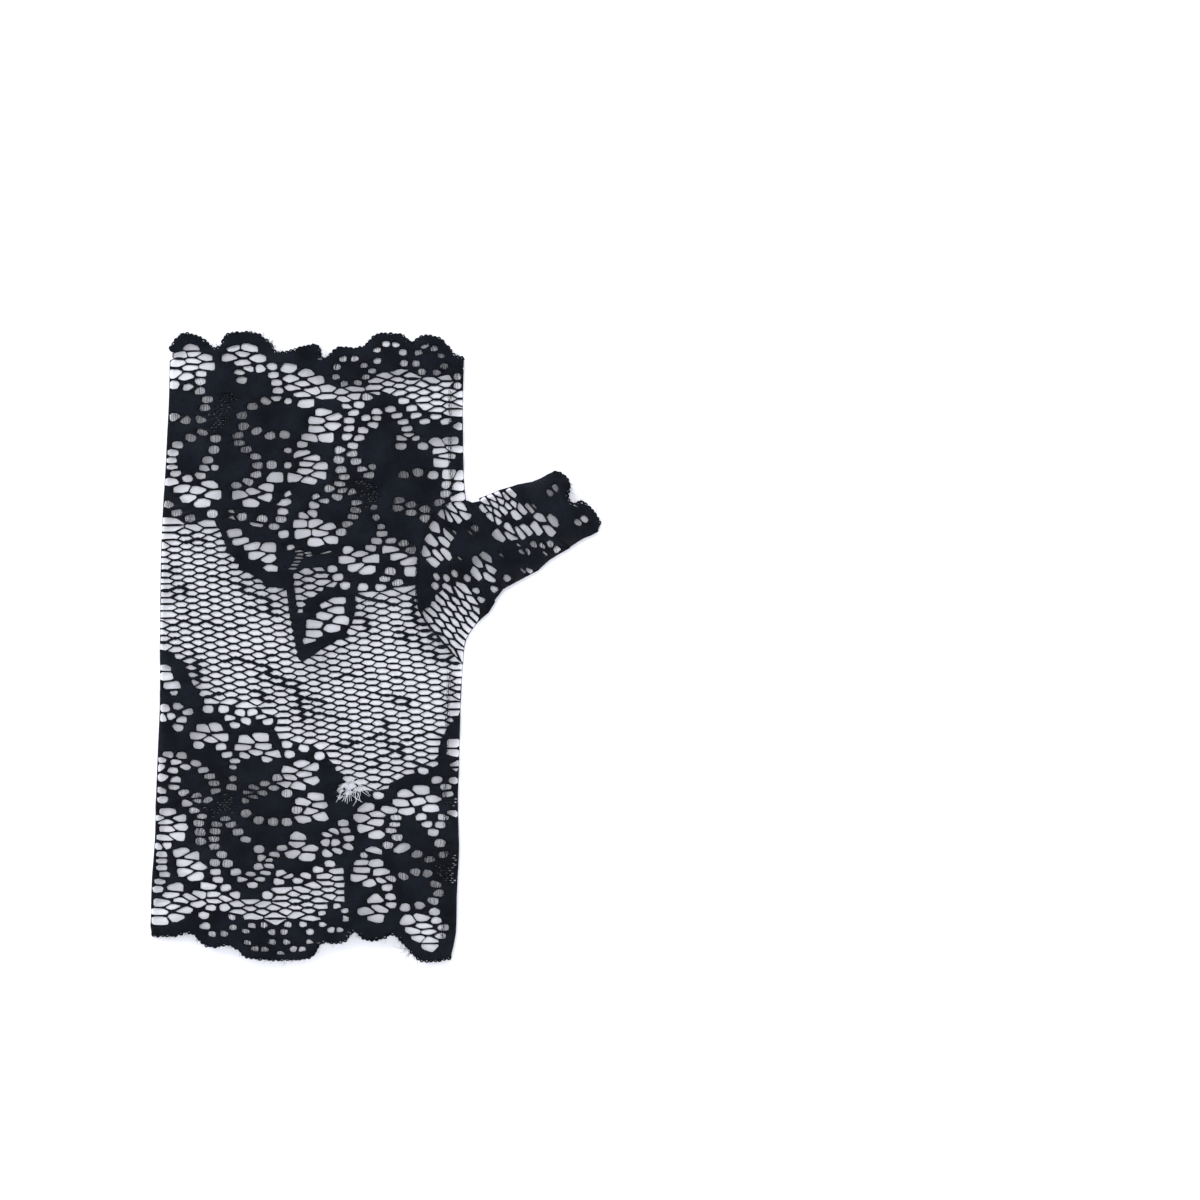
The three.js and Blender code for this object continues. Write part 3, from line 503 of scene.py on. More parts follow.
@dataclass
class MittenForm:
    """The form that the flat lace is laid over, in millimetres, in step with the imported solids."""

    half_width: float = 47.25
    length: float = 187.8
    crown_height: float = 10.0
    fold_height: float = 3.6
    crown_power: float = 2.5
    wall: float = 1.0
    thumb_reach: float = 40.5
    thumb_root: float = 48.9
    thumb_root_top: float = 50.4
    thumb_hole_depth: float = 14.7
    thumb_crown: float = 9.0
    thumb_power: float = 3.0
    ripple: float = 0.3
    grid_step: float = 0.5
    margin: float = 3.0
    slope_step: float = 0.12
    clearance: float = 0.02
    thumb_sections: int = 64
    section_points: int = 33
    side_rows: tuple = (  # share of the length, left and right fold, crown
        (0.0, 0.994, 0.93, 0.84), (0.046, 1.0, 0.943, 0.9), (0.094, 0.997, 0.943, 0.94),
        (0.174, 0.978, 0.956, 0.97), (0.254, 0.968, 0.949, 0.95), (0.334, 0.956, 0.962, 1.0),
        (0.414, 0.943, 0.968, 0.98), (0.51, 0.943, 0.985, 1.0), (0.637, 0.937, 1.0, 0.97),
        (0.717, 0.924, 1.0, 1.0), (0.765, 0.911, 0.987, 0.97), (0.893, 0.886, 0.981, 0.94),
        (1.0, 0.876, 0.987, 0.84))
    thumb_rows: tuple = (  # upper fold out and down, lower fold out and down, bow, own crown
        (0.0, 0.0, 0.0, 1.0, 1.0, 0.0), (0.09, -0.02, 0.05, 0.81, 0.62, 0.2),
        (0.19, -0.05, 0.16, 0.69, 0.34, 0.45), (0.29, -0.075, 0.26, 0.58, 0.16, 0.7),
        (0.385, -0.1, 0.4, 0.49, 0.06, 0.9), (0.48, -0.115, 0.56, 0.39, 0.02, 1.0),
        (0.58, -0.155, 0.79, 0.27, 0.0, 1.0), (0.655, -0.175, 0.99, 0.155, 0.0, 1.0),
        (0.75, -0.2, 1.1, 0.1, 0.0, 1.0))
    hole_rows: tuple = (  # down the thumb hole and in from the fold
        (0.0, 0.0), (0.012, 0.37), (0.086, 0.65), (0.21, 0.86), (0.36, 0.96), (0.515, 1.0),
        (0.69, 0.92), (0.82, 0.59), (0.93, 0.29), (1.0, 0.0))
    folds: tuple = (tuple(LEFT_FOLD), tuple(FINGER_EDGE[-1:] + RIGHT_FOLD_TOP), tuple(THUMB_UPPER_FOLD),
                    tuple(THUMB_LOWER_FOLD), tuple(RIGHT_FOLD_LOW))

    def __post_init__(self) -> None:
        """Finds the hand's own zero in the frame and works out the height of the upper layer on a grid."""
        low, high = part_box("hand_tube")
        self.zero = np.array([low[0] / MM + self.half_width, (low[1] + high[1]) / 2 / MM - self.length / 2])
        self.fold_routes = [to_mm(curved(fold, 6)) for fold in self.folds]
        box_low, box_high = CAD_BOX
        self.x = np.arange(box_low[0] / MM - self.margin, box_high[0] / MM + self.margin, self.grid_step)
        self.y = np.arange(box_low[1] / MM - self.margin, box_high[1] / MM + self.margin, self.grid_step)
        grid = np.stack(np.meshgrid(self.x, self.y), -1)
        self.heights = self.hand_top(grid.reshape(-1, 2)).reshape(grid.shape[:2])
        self.add_thumb(grid)

    def crown(self, side: np.ndarray, top: np.ndarray, power: float) -> np.ndarray:
        """Gives the outer height at a share of the way to the side, for a crown of a given top."""
        return self.fold_height + (top - self.fold_height) * (1 - np.minimum(1, np.abs(side)) ** power)

    def hand_top(self, points: np.ndarray) -> np.ndarray:
        """Gives the outer height of the hand's upper layer.

        Args:
            points: places in plan, in millimetres.

        Returns:
            One height a place.
        """
        p = points - self.zero
        up = p[:, 1] / self.length
        rows = np.array(self.side_rows)
        left = -np.interp(up, rows[:, 0], rows[:, 1]) * self.half_width
        right = np.interp(up, rows[:, 0], rows[:, 2]) * self.half_width
        top = np.interp(up, rows[:, 0], rows[:, 3]) * self.crown_height
        side = (2 * p[:, 0] - left - right) / (right - left - self.fold_height)
        return self.crown(side, top, self.crown_power)

    def thumb_surface(self, root: np.ndarray) -> BVHTree:
        """Makes the thumb's upper surface from its sections, each from the upper to the lower fold.

        Args:
            root: the top of the thumb's root in plan.

        Returns:
            The surface, ready for rays.
        """
        rows, hole = np.array(self.thumb_rows), np.array(self.hole_rows)
        along = np.linspace(0, len(rows) - 1, self.thumb_sections)
        sections = np.stack([np.interp(along, np.arange(len(rows)), column) for column in rows.T], -1)
        run = np.linspace(0, 1, self.section_points)
        at = run * (len(hole) - 1)
        hole_down, hole_in = (np.interp(at, np.arange(len(hole)), column) for column in hole.T)
        points, faces = [], []
        for out_u, down_u, out_l, down_l, bow, own in sections:
            upper = root + np.array([out_u * self.thumb_reach, -down_u * self.thumb_root])
            lower = root + np.array([out_l * self.thumb_reach, -down_l * self.thumb_root])
            chord = lower - upper
            inward = np.array([chord[1], -chord[0]]) / np.linalg.norm(chord)
            share = hole_down * bow + run * (1 - bow)
            line = upper + share[:, None] * chord + (hole_in * self.thumb_hole_depth * bow)[:, None] * inward
            line = even(line, np.linalg.norm(np.diff(line, axis=0), axis=1).sum() / (len(run) - 1))
            length = np.linalg.norm(np.diff(line, axis=0), axis=1).sum()
            side = np.clip((2 * run - 1) / (1 - self.fold_height / length), -1, 1)
            mine = self.crown(side, self.thumb_crown, self.thumb_power)
            height = (1 - own) * self.hand_top(line) + own * mine
            points.extend(Vector((*xy, z)) for xy, z in zip(line, height))
        for k in range(len(sections) - 1):
            for i in range(len(run) - 1):
                a = k * len(run) + i
                faces.append((a, a + 1, a + len(run) + 1, a + len(run)))
        return BVHTree.FromPolygons(points, faces)

    def add_thumb(self, grid: np.ndarray) -> None:
        """Raises the grid where the thumb lies.

        Args:
            grid: the places of the grid in plan.
        """
        root = np.array([self.half_width, self.length - self.thumb_root_top]) + self.zero
        tree = self.thumb_surface(root)
        west = root[0] - self.thumb_hole_depth - 1
        south, north = root[1] - self.thumb_root * 1.1, root[1] + self.thumb_root * 0.4
        near_thumb = (grid[..., 0] > west) & (grid[..., 1] > south) & (grid[..., 1] < north)
        sky, down, past_fold = 5 * self.crown_height, Vector((0, 0, -1)), 4.0
        for j, i in zip(*np.nonzero(near_thumb)):
            x, y = grid[j, i]
            hit = tree.ray_cast(Vector((x, y, sky)), down)[0]
            if hit is None and x > root[0] - 1:
                hit = tree.find_nearest(Vector((x, y, self.fold_height)), past_fold)[0]
            if hit is not None:
                self.heights[j, i] = hit.z

    def field_height(self, points: np.ndarray) -> np.ndarray:
        """Reads the grid of heights between its places, and adds the lace's gentle ripple."""
        u = np.clip((points[:, 0] - self.x[0]) / self.grid_step, 0, len(self.x) - 1.001)
        v = np.clip((points[:, 1] - self.y[0]) / self.grid_step, 0, len(self.y) - 1.001)
        i, j = u.astype(int), v.astype(int)
        a, b = u - i, v - j
        h = self.heights
        near_row = h[j, i] * (1 - a) + h[j, i + 1] * a
        far_row = h[j + 1, i] * (1 - a) + h[j + 1, i + 1] * a
        smooth = near_row * (1 - b) + far_row * b
        x, y = points.T
        wave = np.sin(x / 6.1 + y / 19) * np.sin(y / 8.3 - x / 27)
        return smooth + self.ripple * wave * np.minimum(1, (smooth - self.fold_height) / 2)

    def middle_height(self, points: np.ndarray, layer: Layer) -> np.ndarray:
        """Gives the height of the middle of the lace's thickness.

        Args:
            points: places in plan, in millimetres.
            layer: which of the two layers.

        Returns:
            One height a place.
        """
        radius = (self.fold_height - self.wall) / 2
        near = np.full(len(points), np.inf)
        for route in self.fold_routes:
            low, high = route.min(0) - 2 * radius, route.max(0) + 2 * radius
            close = np.nonzero(((points > low) & (points < high)).all(1))[0]
            if len(close):
                near[close] = np.minimum(near[close], nearest_on(points[close], route)[0])
        rise = np.sqrt(1 - (1 - np.minimum(near / radius, 1)) ** 2)
        axis = self.fold_height / 2
        if layer is Layer.LOWER:
            return axis - radius * rise
        return axis + (self.field_height(points) - self.wall / 2 - axis) * rise

    def lifted(self, chart: np.ndarray, layer: Layer) -> np.ndarray:
        """Lifts chart places to the middle of a layer's thickness.

        Args:
            chart: places on the chart, in rows of any depth.
            layer: which of the two layers.

        Returns:
            The same places in millimetres, with their heights.
        """
        plan = to_mm(chart)
        height = self.middle_height(plan.reshape(-1, 2), layer).reshape(plan.shape[:-1])
        return np.concatenate([plan, height[..., None]], -1)

    def lay(self, plan: np.ndarray, offset: np.ndarray, layer: Layer) -> np.ndarray:
        """Lays flat points over the form.

        Args:
            plan: places in plan, in millimetres.
            offset: how far each point stands out from the middle of the lace.
            layer: which of the two layers.

        Returns:
            The points in metres, in the frame.
        """
        step = self.slope_step
        middle = self.middle_height(plan, layer)
        slopes = []
        for way in ((step, 0), (0, step)):
            ahead = self.middle_height(plan + way, layer)
            behind = self.middle_height(plan - way, layer)
            slopes.append((ahead - behind) / (2 * step))
        normal = unit(np.stack([-slopes[0], -slopes[1], np.ones(len(plan))], -1) * layer.value)
        points = np.column_stack([plan, middle]) + normal * offset[:, None]
        points[:, 2] = np.maximum(points[:, 2], self.clearance)
        return points * MM


@dataclass
class ChartRaster:
    """The chart's closed ground and thickness of the lace, on a grid of two points a square."""

    low: tuple = (130, 315)
    high: tuple = (620, 980)
    fineness: int = 2
    net_thickness: float = 0.32
    ground_thickness: float = 0.46
    petal_rise: float = 0.24
    band_rise: float = 0.32
    oval_power: float = 2.3

    def __post_init__(self) -> None:
        """Starts with open net everywhere."""
        wide, tall = ((high - low) * self.fineness + 1 for low, high in zip(self.low, self.high))
        self.closed = np.zeros((tall, wide), bool)
        self.loft = np.full((tall, wide), self.net_thickness)

    def patch(self, low: np.ndarray, high: np.ndarray) -> tuple[slice, slice, np.ndarray]:
        """Cuts out the part of the grid between two corners.

        Args:
            low: the upper left corner on the chart.
            high: the lower right corner.

        Returns:
            The two slices of the grid and the chart places in them.
        """
        first = np.maximum(((np.asarray(low) - self.low) * self.fineness).astype(int), 0)
        last = ((np.asarray(high) - self.low) * self.fineness).astype(int) + 2
        last = np.minimum(last, self.closed.shape[::-1])
        xs = self.low[0] + np.arange(first[0], last[0]) / self.fineness
        ys = self.low[1] + np.arange(first[1], last[1]) / self.fineness
        return slice(first[1], last[1]), slice(first[0], last[0]), np.stack(np.meshgrid(xs, ys), -1)

    def set_field(self, outline: list, closed: bool = True) -> None:
        """Closes or opens the ground inside an outline."""
        shape = curved(outline + outline[:1])
        rows, columns, places = self.patch(shape.min(0), shape.max(0))
        within = inside(places, shape)
        self.closed[rows, columns][within] = closed
        self.loft[rows, columns][within] = self.ground_thickness if closed else self.net_thickness

    def oval(self, x: float, y: float, length: float, breadth: float, turn: float) -> tuple:
        """Measures an oval: the grid's slices and, there, 0 at its middle to 1 at its rim."""
        reach = max(length, breadth) / 2
        rows, columns, places = self.patch((x - reach, y - reach), (x + reach, y + reach))
        angle = math.radians(turn)
        d = places - (x, y)
        along = d[..., 0] * math.cos(angle) + d[..., 1] * math.sin(angle)
        across = d[..., 1] * math.cos(angle) - d[..., 0] * math.sin(angle)
        power = self.oval_power
        far = (np.abs(2 * along / length) ** power + np.abs(2 * across / breadth) ** power) ** (1 / power)
        return rows, columns, far

    def close_oval(self, shape: tuple, rise: float) -> None:
        """Closes an oval petal or dot, and raises its middle."""
        rows, columns, far = self.oval(*shape)
        within = far < 1
        self.closed[rows, columns] |= within
        height = self.ground_thickness + rise * np.sqrt(np.clip(1 - far**3, 0, 1))
        self.loft[rows, columns][within] = height[within]

    def close_band(self, breadth: float, route: np.ndarray) -> None:
        """Closes a band along a route, with a rounded back."""
        for a, b in zip(route[:-1], route[1:]):
            rows, columns, places = self.patch(np.minimum(a, b) - breadth, np.maximum(a, b) + breadth)
            if not places.size:
                continue
            along = b - a
            t = np.clip(((places - a) @ along) / max(along @ along, 1e-9), 0, 1)
            far = np.linalg.norm(places - a - t[..., None] * along, axis=-1) / (breadth / 2)
            within = far < 1
            self.closed[rows, columns] |= within
            height = self.ground_thickness + self.band_rise * np.sqrt(np.clip(1 - far**2, 0, 1))
            part = self.loft[rows, columns]
            part[within] = np.maximum(part, height)[within]

    def at(self, grid: np.ndarray, points: np.ndarray) -> np.ndarray:
        """Reads one of the grids at chart places."""
        spot = ((points - self.low) * self.fineness + 0.5).astype(int)
        spot = np.clip(spot, 0, np.array(grid.shape[::-1]) - 1)
        return grid[spot[..., 1], spot[..., 0]]


@dataclass
class SeedField:
    """Middles of the lace's cells on the chart, each with its kind, the room it takes and its hole."""

    turn: float
    places: np.ndarray = field(default_factory=lambda: np.zeros((0, 2)))
    kinds: np.ndarray = field(default_factory=lambda: np.zeros(0, int))
    rooms: np.ndarray = field(default_factory=lambda: np.zeros((0, 2)))
    holes: np.ndarray = field(default_factory=lambda: np.zeros((0, 2)))

    def turned(self, points: np.ndarray, back: bool = False) -> np.ndarray:
        """Turns chart places so that the cells' long way lies along x, or back again."""
        angle = math.radians(self.turn) * (1 if back else -1)
        c, s = math.cos(angle), math.sin(angle)
        return points @ np.array([[c, s], [-s, c]])

    def keep(self, wanted: np.ndarray) -> None:
        """Keeps the wanted seeds alone."""
        self.places, self.kinds = self.places[wanted], self.kinds[wanted]
        self.rooms, self.holes = self.rooms[wanted], self.holes[wanted]

    def add(self, points: np.ndarray, sort: Sort) -> None:
        """Adds the seeds that aren't too near to those already there.

        Args:
            points: places on the chart.
            sort: the sort of cell that they are.
        """
        points = np.asarray(points, float).reshape(-1, 2)
        if len(self.places) and len(points):
            a, b = self.turned(points), self.turned(self.places)
            need = (self.rooms[None] + np.array(sort.room)) * sort.crowding
            keep = np.ones(len(points), bool)
            batch = 500
            for first in range(0, len(points), batch):
                part = slice(first, first + batch)
                gap = (a[part, None] - b[None]) / need
                keep[part] = ((gap**2).sum(-1) >= 1).all(1)
            points = points[keep]
        count = len(points)
        self.places = np.vstack([self.places, points])
        self.kinds = np.concatenate([self.kinds, np.full(count, int(sort.kind))])
        self.rooms = np.vstack([self.rooms, np.tile(sort.room, (count, 1))])
        self.holes = np.vstack([self.holes, np.tile(sort.hole, (count, 1))])


@dataclass
class LacePanel:
    """One flat panel of lace: its outline, its seeds and the mesh of threads that they make."""

    name: str
    raster: ChartRaster
    free_edges: list
    fold_edges: list
    seam_edges: list
    outline: list
    turn: float = 0.0
    squeeze: float = 0.38
    net_step: tuple = ((12.4, 3.2), (1.0, 7.0))
    ground_step: tuple = ((7.6, 2.3), (0.3, 4.7))
    mesh_step: tuple = (4.6, 2.5)
    mesh_share: float = 0.8
    wander: float = 0.42
    level_thread: float = 1.02
    slant_thread: float = 0.48
    firm_thread: float = 0.72
    mesh_thread: float = 0.45
    ground_thread: float = 0.35
    pulled_thread: float = 0.9
    wavy_threads: int = 130
    wavy_share: float = 0.55
    wavy_length: tuple = (26, 10)
    joint_reach: float = 0.45
    edge_gap: float = 0.8
    edge_room: float = 0.82
    mirror_reach: float = 11.0
    least_hole: float = 3.2
    least_mesh_hole: float = 0.5
    pillow: float = 1.06
    thickness_spread: tuple = (0.86, 1.2)
    thread_spread: tuple = (0.78, 1.25)
    most_pinch: float = 0.9
    least_half: float = 0.5
    window_power: float = 5.0
    hole_power: float = 2.6
    least_share: float = 0.12
    seed: int = 7

    def __post_init__(self) -> None:
        """Sets up the random numbers and the seeds."""
        self.rng = np.random.default_rng(self.seed)
        self.seeds = SeedField(self.turn)
        self.shape = np.asarray(self.outline, float)

    def lattice(self, step: tuple) -> np.ndarray:
        """Fills the panel's surroundings with a slightly wandering lattice.

        Args:
            step: the lattice's two steps on the chart, along and down.

        Returns:
            The places of the lattice inside the outline.
        """
        reach = 60
        across, down = np.array(step)
        i, j = np.meshgrid(np.arange(-reach, reach), np.arange(-reach, reach) * 2)
        i, j = i.ravel()[:, None], j.ravel()[:, None]
        flat = [i * across + (j + shift) * down - (i // 2) * down for shift in (0, 1)]
        p = self.seeds.turned(np.vstack(flat), back=True) + self.shape.mean(0)
        x, y = p.T
        waves = np.stack([2.0 * np.sin(y / 37 + 1) + 1.2 * np.sin(x / 23 + y / 90),
                          1.9 * np.sin(x / 43 + 0.7) + 1.1 * np.sin(y / 31 + x / 57)], -1)
        p = p + waves + self.rng.normal(0, self.wander, p.shape)
        low, high = self.shape.min(0), self.shape.max(0)
        p = p[((p > low) & (p < high)).all(1)]
        return p[inside(p, self.shape)]

    def edge_seeds(self) -> None:
        """Sets the closed rows of seeds along the free edges."""
        spacing, inset = 4.6, 2.4
        for route in self.free_edges:
            along = curved(route)
            p = self.beside(even(along, spacing, False), along, inset)
            p = p[inside(p, self.shape) & self.raster.at(self.raster.closed, p)]
            self.seeds.add(p, EDGE_ROW)

    @staticmethod
    def beside(points: np.ndarray, route: np.ndarray, offset: float) -> np.ndarray:
        """Moves points off a route, to its right as it runs, which is the panel's inside."""
        _, spot = nearest_on(points, route)
        nearest = np.array([np.argmin(((route - s) ** 2).sum(1)) for s in spot])
        way = unit(route[np.minimum(nearest + 1, len(route) - 1)] - route[np.maximum(nearest - 1, 0)])
        return spot + offset * np.stack([-way[:, 1], way[:, 0]], -1)

    def open_seeds(self, charted: list, spots: list) -> None:
        """Sets the openings of the flowers, the mesh spots and the cells of the net.

        Args:
            charted: lists of places, each with its sort.
            spots: places of the fine mesh, with their reach.
        """
        seeds, raster = self.seeds, self.raster
        edges = [curved(edge) for edge in self.free_edges]
        clear_of_edge, slip = 4, 0.25
        for places, sort in charted:
            p = np.array(places, float)
            p = p + self.rng.normal(0, slip, p.shape)
            near = np.min([nearest_on(p, edge)[0] for edge in edges], axis=0)
            seeds.add(p[inside(p, self.shape) & (near > clear_of_edge)], sort)
        rows = np.arange(-12, 13)
        i, j = np.meshgrid(rows, rows)
        long, high = self.mesh_step
        for x, y, reach in spots:
            mesh = np.stack([x + long * i + long / 2 * (j % 2), y + high * j], -1).reshape(-1, 2)
            mesh = mesh + self.rng.normal(0, 0.4, mesh.shape)
            mesh = mesh[np.linalg.norm((mesh - (x, y)) * (1, 0.9), axis=1) < reach]
            mesh = mesh[self.rng.random(len(mesh)) < self.mesh_share]
            seeds.add(mesh[inside(mesh, self.shape)], FINE_MESH)
        net = self.lattice(self.net_step)
        seeds.add(net[~raster.at(raster.closed, net)], OPEN_NET)

    def closed_seeds(self) -> None:
        """Fills the closed ground, and mirrors the seeds near the outline so that the cells end on it."""
        seeds, raster = self.seeds, self.raster
        fill = self.lattice(self.ground_step)
        seeds.add(fill[raster.at(raster.closed, fill)], GROUND)
        edges = self.free_edges + self.seam_edges + self.fold_edges
        lines = [self.squeezed(curved(edge)) for edge in edges]
        for line in lines:
            flat = self.squeezed(seeds.places)
            far, spot = nearest_on(flat, line)
            net = (far < self.edge_gap) & (far > 0.05) & (seeds.kinds == Cell.NET)
            moved = spot[net] + (flat[net] - spot[net]) / far[net][:, None] * self.edge_room
            seeds.places[net] = self.squeezed(moved, back=True)
            seeds.keep((far > self.edge_gap) | net)
        flat = self.squeezed(seeds.places)
        twins = []
        for line in lines:
            far, spot = nearest_on(flat, line)
            near = far < self.mirror_reach
            twin = self.squeezed(2 * spot[near] - flat[near], back=True)
            twins.append(twin[~inside(twin, self.shape)])
        seeds.add(np.vstack(twins), BEYOND_EDGE)

    def squeezed(self, points: np.ndarray, back: bool = False) -> np.ndarray:
        """Turns and squeezes chart places so that the net's cells are as long as they are high."""
        scale = np.array([self.squeeze, 1.0])
        if back:
            return self.seeds.turned(points / scale, back=True)
        return self.seeds.turned(points) * scale

    @staticmethod
    def circumcentres(a: np.ndarray, b: np.ndarray, c: np.ndarray) -> np.ndarray:
        """Gives the point as far from all three corners, for each triangle of corners a, b and c."""
        bc, ca, ab = b - c, c - a, a - b
        d = 2 * (a[:, 0] * bc[:, 1] + b[:, 0] * ca[:, 1] + c[:, 0] * ab[:, 1])
        d = np.where(np.abs(d) < 1e-9, 1e-9, d)
        sa, sb, sc = ((q**2).sum(1) for q in (a, b, c))
        x = (sa * bc[:, 1] + sb * ca[:, 1] + sc * ab[:, 1]) / d
        y = (sa * -bc[:, 0] + sb * -ca[:, 0] + sc * -ab[:, 0]) / d
        return np.stack([x, y], -1)

    def merge_joints(self, centres: np.ndarray, sides: dict) -> np.ndarray:
        """Merges the triangles' centres that almost meet into the joints where threads cross.

        Args:
            centres: the centre of each triangle on the chart.
            sides: the triangles on each side, by the side's two seeds.

        Returns:
            The joint of each triangle.
        """
        group = list(range(len(centres)))

        def root(t: int) -> int:
            """Finds the joint that a triangle's centre was merged into."""
            while group[t] != t:
                group[t] = group[group[t]]
                t = group[t]
            return t

        for both in sides.values():
            if len(both) == 2 and np.linalg.norm(centres[both[0]] - centres[both[1]]) < self.joint_reach:
                group[root(both[0])] = root(both[1])
        used, joint_of = np.unique([root(t) for t in range(len(group))], return_inverse=True)
        total = np.zeros((len(used), 2))
        np.add.at(total, joint_of, centres)
        self.joints = total / np.bincount(joint_of)[:, None]
        return joint_of

    def cells(self) -> None:
        """Divides the panel into cells round the seeds, as the dual of their triangulation."""
        seeds = self.seeds
        flat = self.squeezed(seeds.places)
        made = delaunay_2d_cdt([Vector(p) for p in flat], [], [], 0, 1e-7)
        back = np.array([o[0] for o in made[3]])
        triangles = back[np.array(made[2])]
        centres = self.squeezed(self.circumcentres(*(flat[corner] for corner in triangles.T)), back=True)
        sides: dict = {}
        around: dict = {}
        for t, corners in enumerate(triangles.tolist()):
            for k, s in enumerate(corners):
                pair = tuple(sorted((s, corners[(k + 1) % 3])))
                sides.setdefault(pair, []).append(t)
                around.setdefault(s, []).append(t)
        joint_of = self.merge_joints(centres, sides)
        beyond: dict = {}
        for pair, both in sides.items():
            ends = tuple(sorted(joint_of[both]))
            if len(ends) == 2 and ends[0] != ends[1]:
                beyond[ends] = pair
        self.rings = {}
        for s, met in around.items():
            ring = np.unique(joint_of[met])
            if seeds.kinds[s] == Cell.OUTSIDE or len(ring) < 3:
                continue
            d = self.joints[ring] - seeds.places[s]
            ring = ring[np.argsort(np.arctan2(-d[:, 1], d[:, 0]))]
            others = []
            for i, j in zip(ring, np.roll(ring, -1)):
                pair = beyond.get((min(i, j), max(i, j)))
                others.append(-1 if pair is None else pair[0] if pair[1] == s else pair[1])
            self.rings[s] = (ring, others)

    def chains(self, routes: list) -> dict:
        """Follows the pulled threads from joint to joint along the sides of the cells.

        Args:
            routes: the routes that the pulled threads keep near to.

        Returns:
            How much half the breadth of a thread grows, by its two joints.
        """
        links: dict = {}
        for ring, _ in self.rings.values():
            for i, j in zip(ring.tolist(), np.roll(ring, -1).tolist()):
                links.setdefault(i, set()).add(j)
                links.setdefault(j, set()).add(i)
        walks = [(even(curved(route), 2.5), self.pulled_thread) for route in routes]
        starts = self.rng.random((self.wavy_threads, 2)) * np.ptp(self.shape, axis=0)
        for start in self.shape.min(0) + starts:
            way = self.rng.normal((0, 0), self.wavy_length)
            run = np.linspace(0, 1, 15)
            swing = np.outer(np.sin(run * self.rng.uniform(4, 14)), (0, self.rng.uniform(0, 4)))
            walks.append((start + np.outer(run, way) + swing, self.pulled_thread * self.wavy_share))
        known = np.array(sorted(links))
        start_reach = 6
        swell: dict = {}
        for goals, more in walks:
            far = np.linalg.norm(self.joints[known] - goals[0], axis=1)
            if far.min() > start_reach:
                continue
            here = int(known[far.argmin()])
            for goal in goals[1:]:
                while True:
                    met = sorted(links[here])
                    left = np.linalg.norm(self.joints[met] - goal, axis=1)
                    ahead = met[int(left.argmin())]
                    if left.min() >= np.linalg.norm(self.joints[here] - goal):
                        break
                    pair = (min(here, ahead), max(here, ahead))
                    swell[pair] = max(more, swell.get(pair, 0.0))
                    here = ahead
        return swell

    def thread_half(self, a: np.ndarray, b: np.ndarray, kinds: tuple) -> float:
        """Gives half the breadth of the thread on one side of a cell.

        Args:
            a: one end of the side on the chart.
            b: the other end.
            kinds: the kinds of the two cells that the thread parts.

        Returns:
            The half breadth in chart squares.
        """
        if Cell.EYELET in kinds:
            return self.firm_thread
        if Cell.MESH in kinds:
            return self.mesh_thread
        if Cell.DENSE in kinds:
            return self.ground_thread
        way = self.seeds.turned((b - a)[None])[0]
        level = abs(way[0]) / (abs(way[0]) + abs(way[1]) + 1e-9)
        half = self.slant_thread + (self.level_thread - self.slant_thread) * min(1, max(0, 2 * level - 0.9))
        if Cell.WINDOW in kinds:
            half *= 0.8
        return half

    def hole_spokes(self, swell: dict) -> np.ndarray:
        """Runs spokes from the middle of each hole to its rim, two for each side of its cell.

        Args:
            swell: how much half the breadth of a thread grows, by its two joints.

        Returns:
            The spokes, ring by ring.
        """
        seeds = self.seeds
        owners = []
        for s, (ring, others) in self.rings.items():
            owners.extend((s, i, j, o) for i, j, o in zip(ring, np.roll(ring, -1), others))
        spread = self.rng.uniform(*self.thread_spread, len(owners))
        who, spokes = [], []
        for (s, i, j, o), breadth in zip(owners, spread):
            mine = Cell(seeds.kinds[s])
            if mine is Cell.DENSE:
                continue
            other = Cell.DENSE if o < 0 or seeds.kinds[o] == Cell.OUTSIDE else Cell(seeds.kinds[o])
            a, b, c = self.joints[i], self.joints[j], seeds.places[s]
            half = self.thread_half(a, b, (mine, other)) * breadth
            half += swell.get((min(i, j), max(i, j)), 0.0)
            side = b - a
            far = abs(side[0] * (c - a)[1] - side[1] * (c - a)[0]) / max(np.linalg.norm(side), 1e-6)
            pinch = min(self.most_pinch, half / max(far, 1e-6))
            cut = CORNER_CUTS.get(mine, ROUND_CORNER_CUT)
            for share in (cut, 1 - cut):
                who.append(s)
                spokes.append((a + share * side - c) * (1 - pinch))
        return self.trim(np.array(who), np.array(spokes))

    def trim(self, who: np.ndarray, spokes: np.ndarray) -> np.ndarray:
        """Shortens the spokes of the holes to their own oval and to the edge of the closed ground.

        Args:
            who: the cell that each spoke belongs to.
            spokes: from the cell's middle to the rim of its hole.

        Returns:
            The shortened spokes.
        """
        seeds, raster = self.seeds, self.raster
        local = seeds.turned(spokes)
        hole = np.maximum(seeds.holes[who], self.least_half)
        power = np.where(seeds.kinds[who] == Cell.WINDOW, self.window_power, self.hole_power)
        reach = (np.abs(local / hole) ** power[:, None]).sum(1) ** (1 / power)
        spokes = spokes / np.maximum(reach, 1)[:, None]
        limited = seeds.kinds[who] == Cell.NET
        scale = np.ones(len(spokes))
        open_so_far = np.ones(len(spokes), bool)
        for share in np.linspace(0.15, 1, 10):
            shut = raster.at(raster.closed, seeds.places[who] + spokes * share)
            scale[open_so_far & shut & limited] = max(self.least_share, share - 0.085)
            open_so_far &= ~shut
        return spokes * scale[:, None]

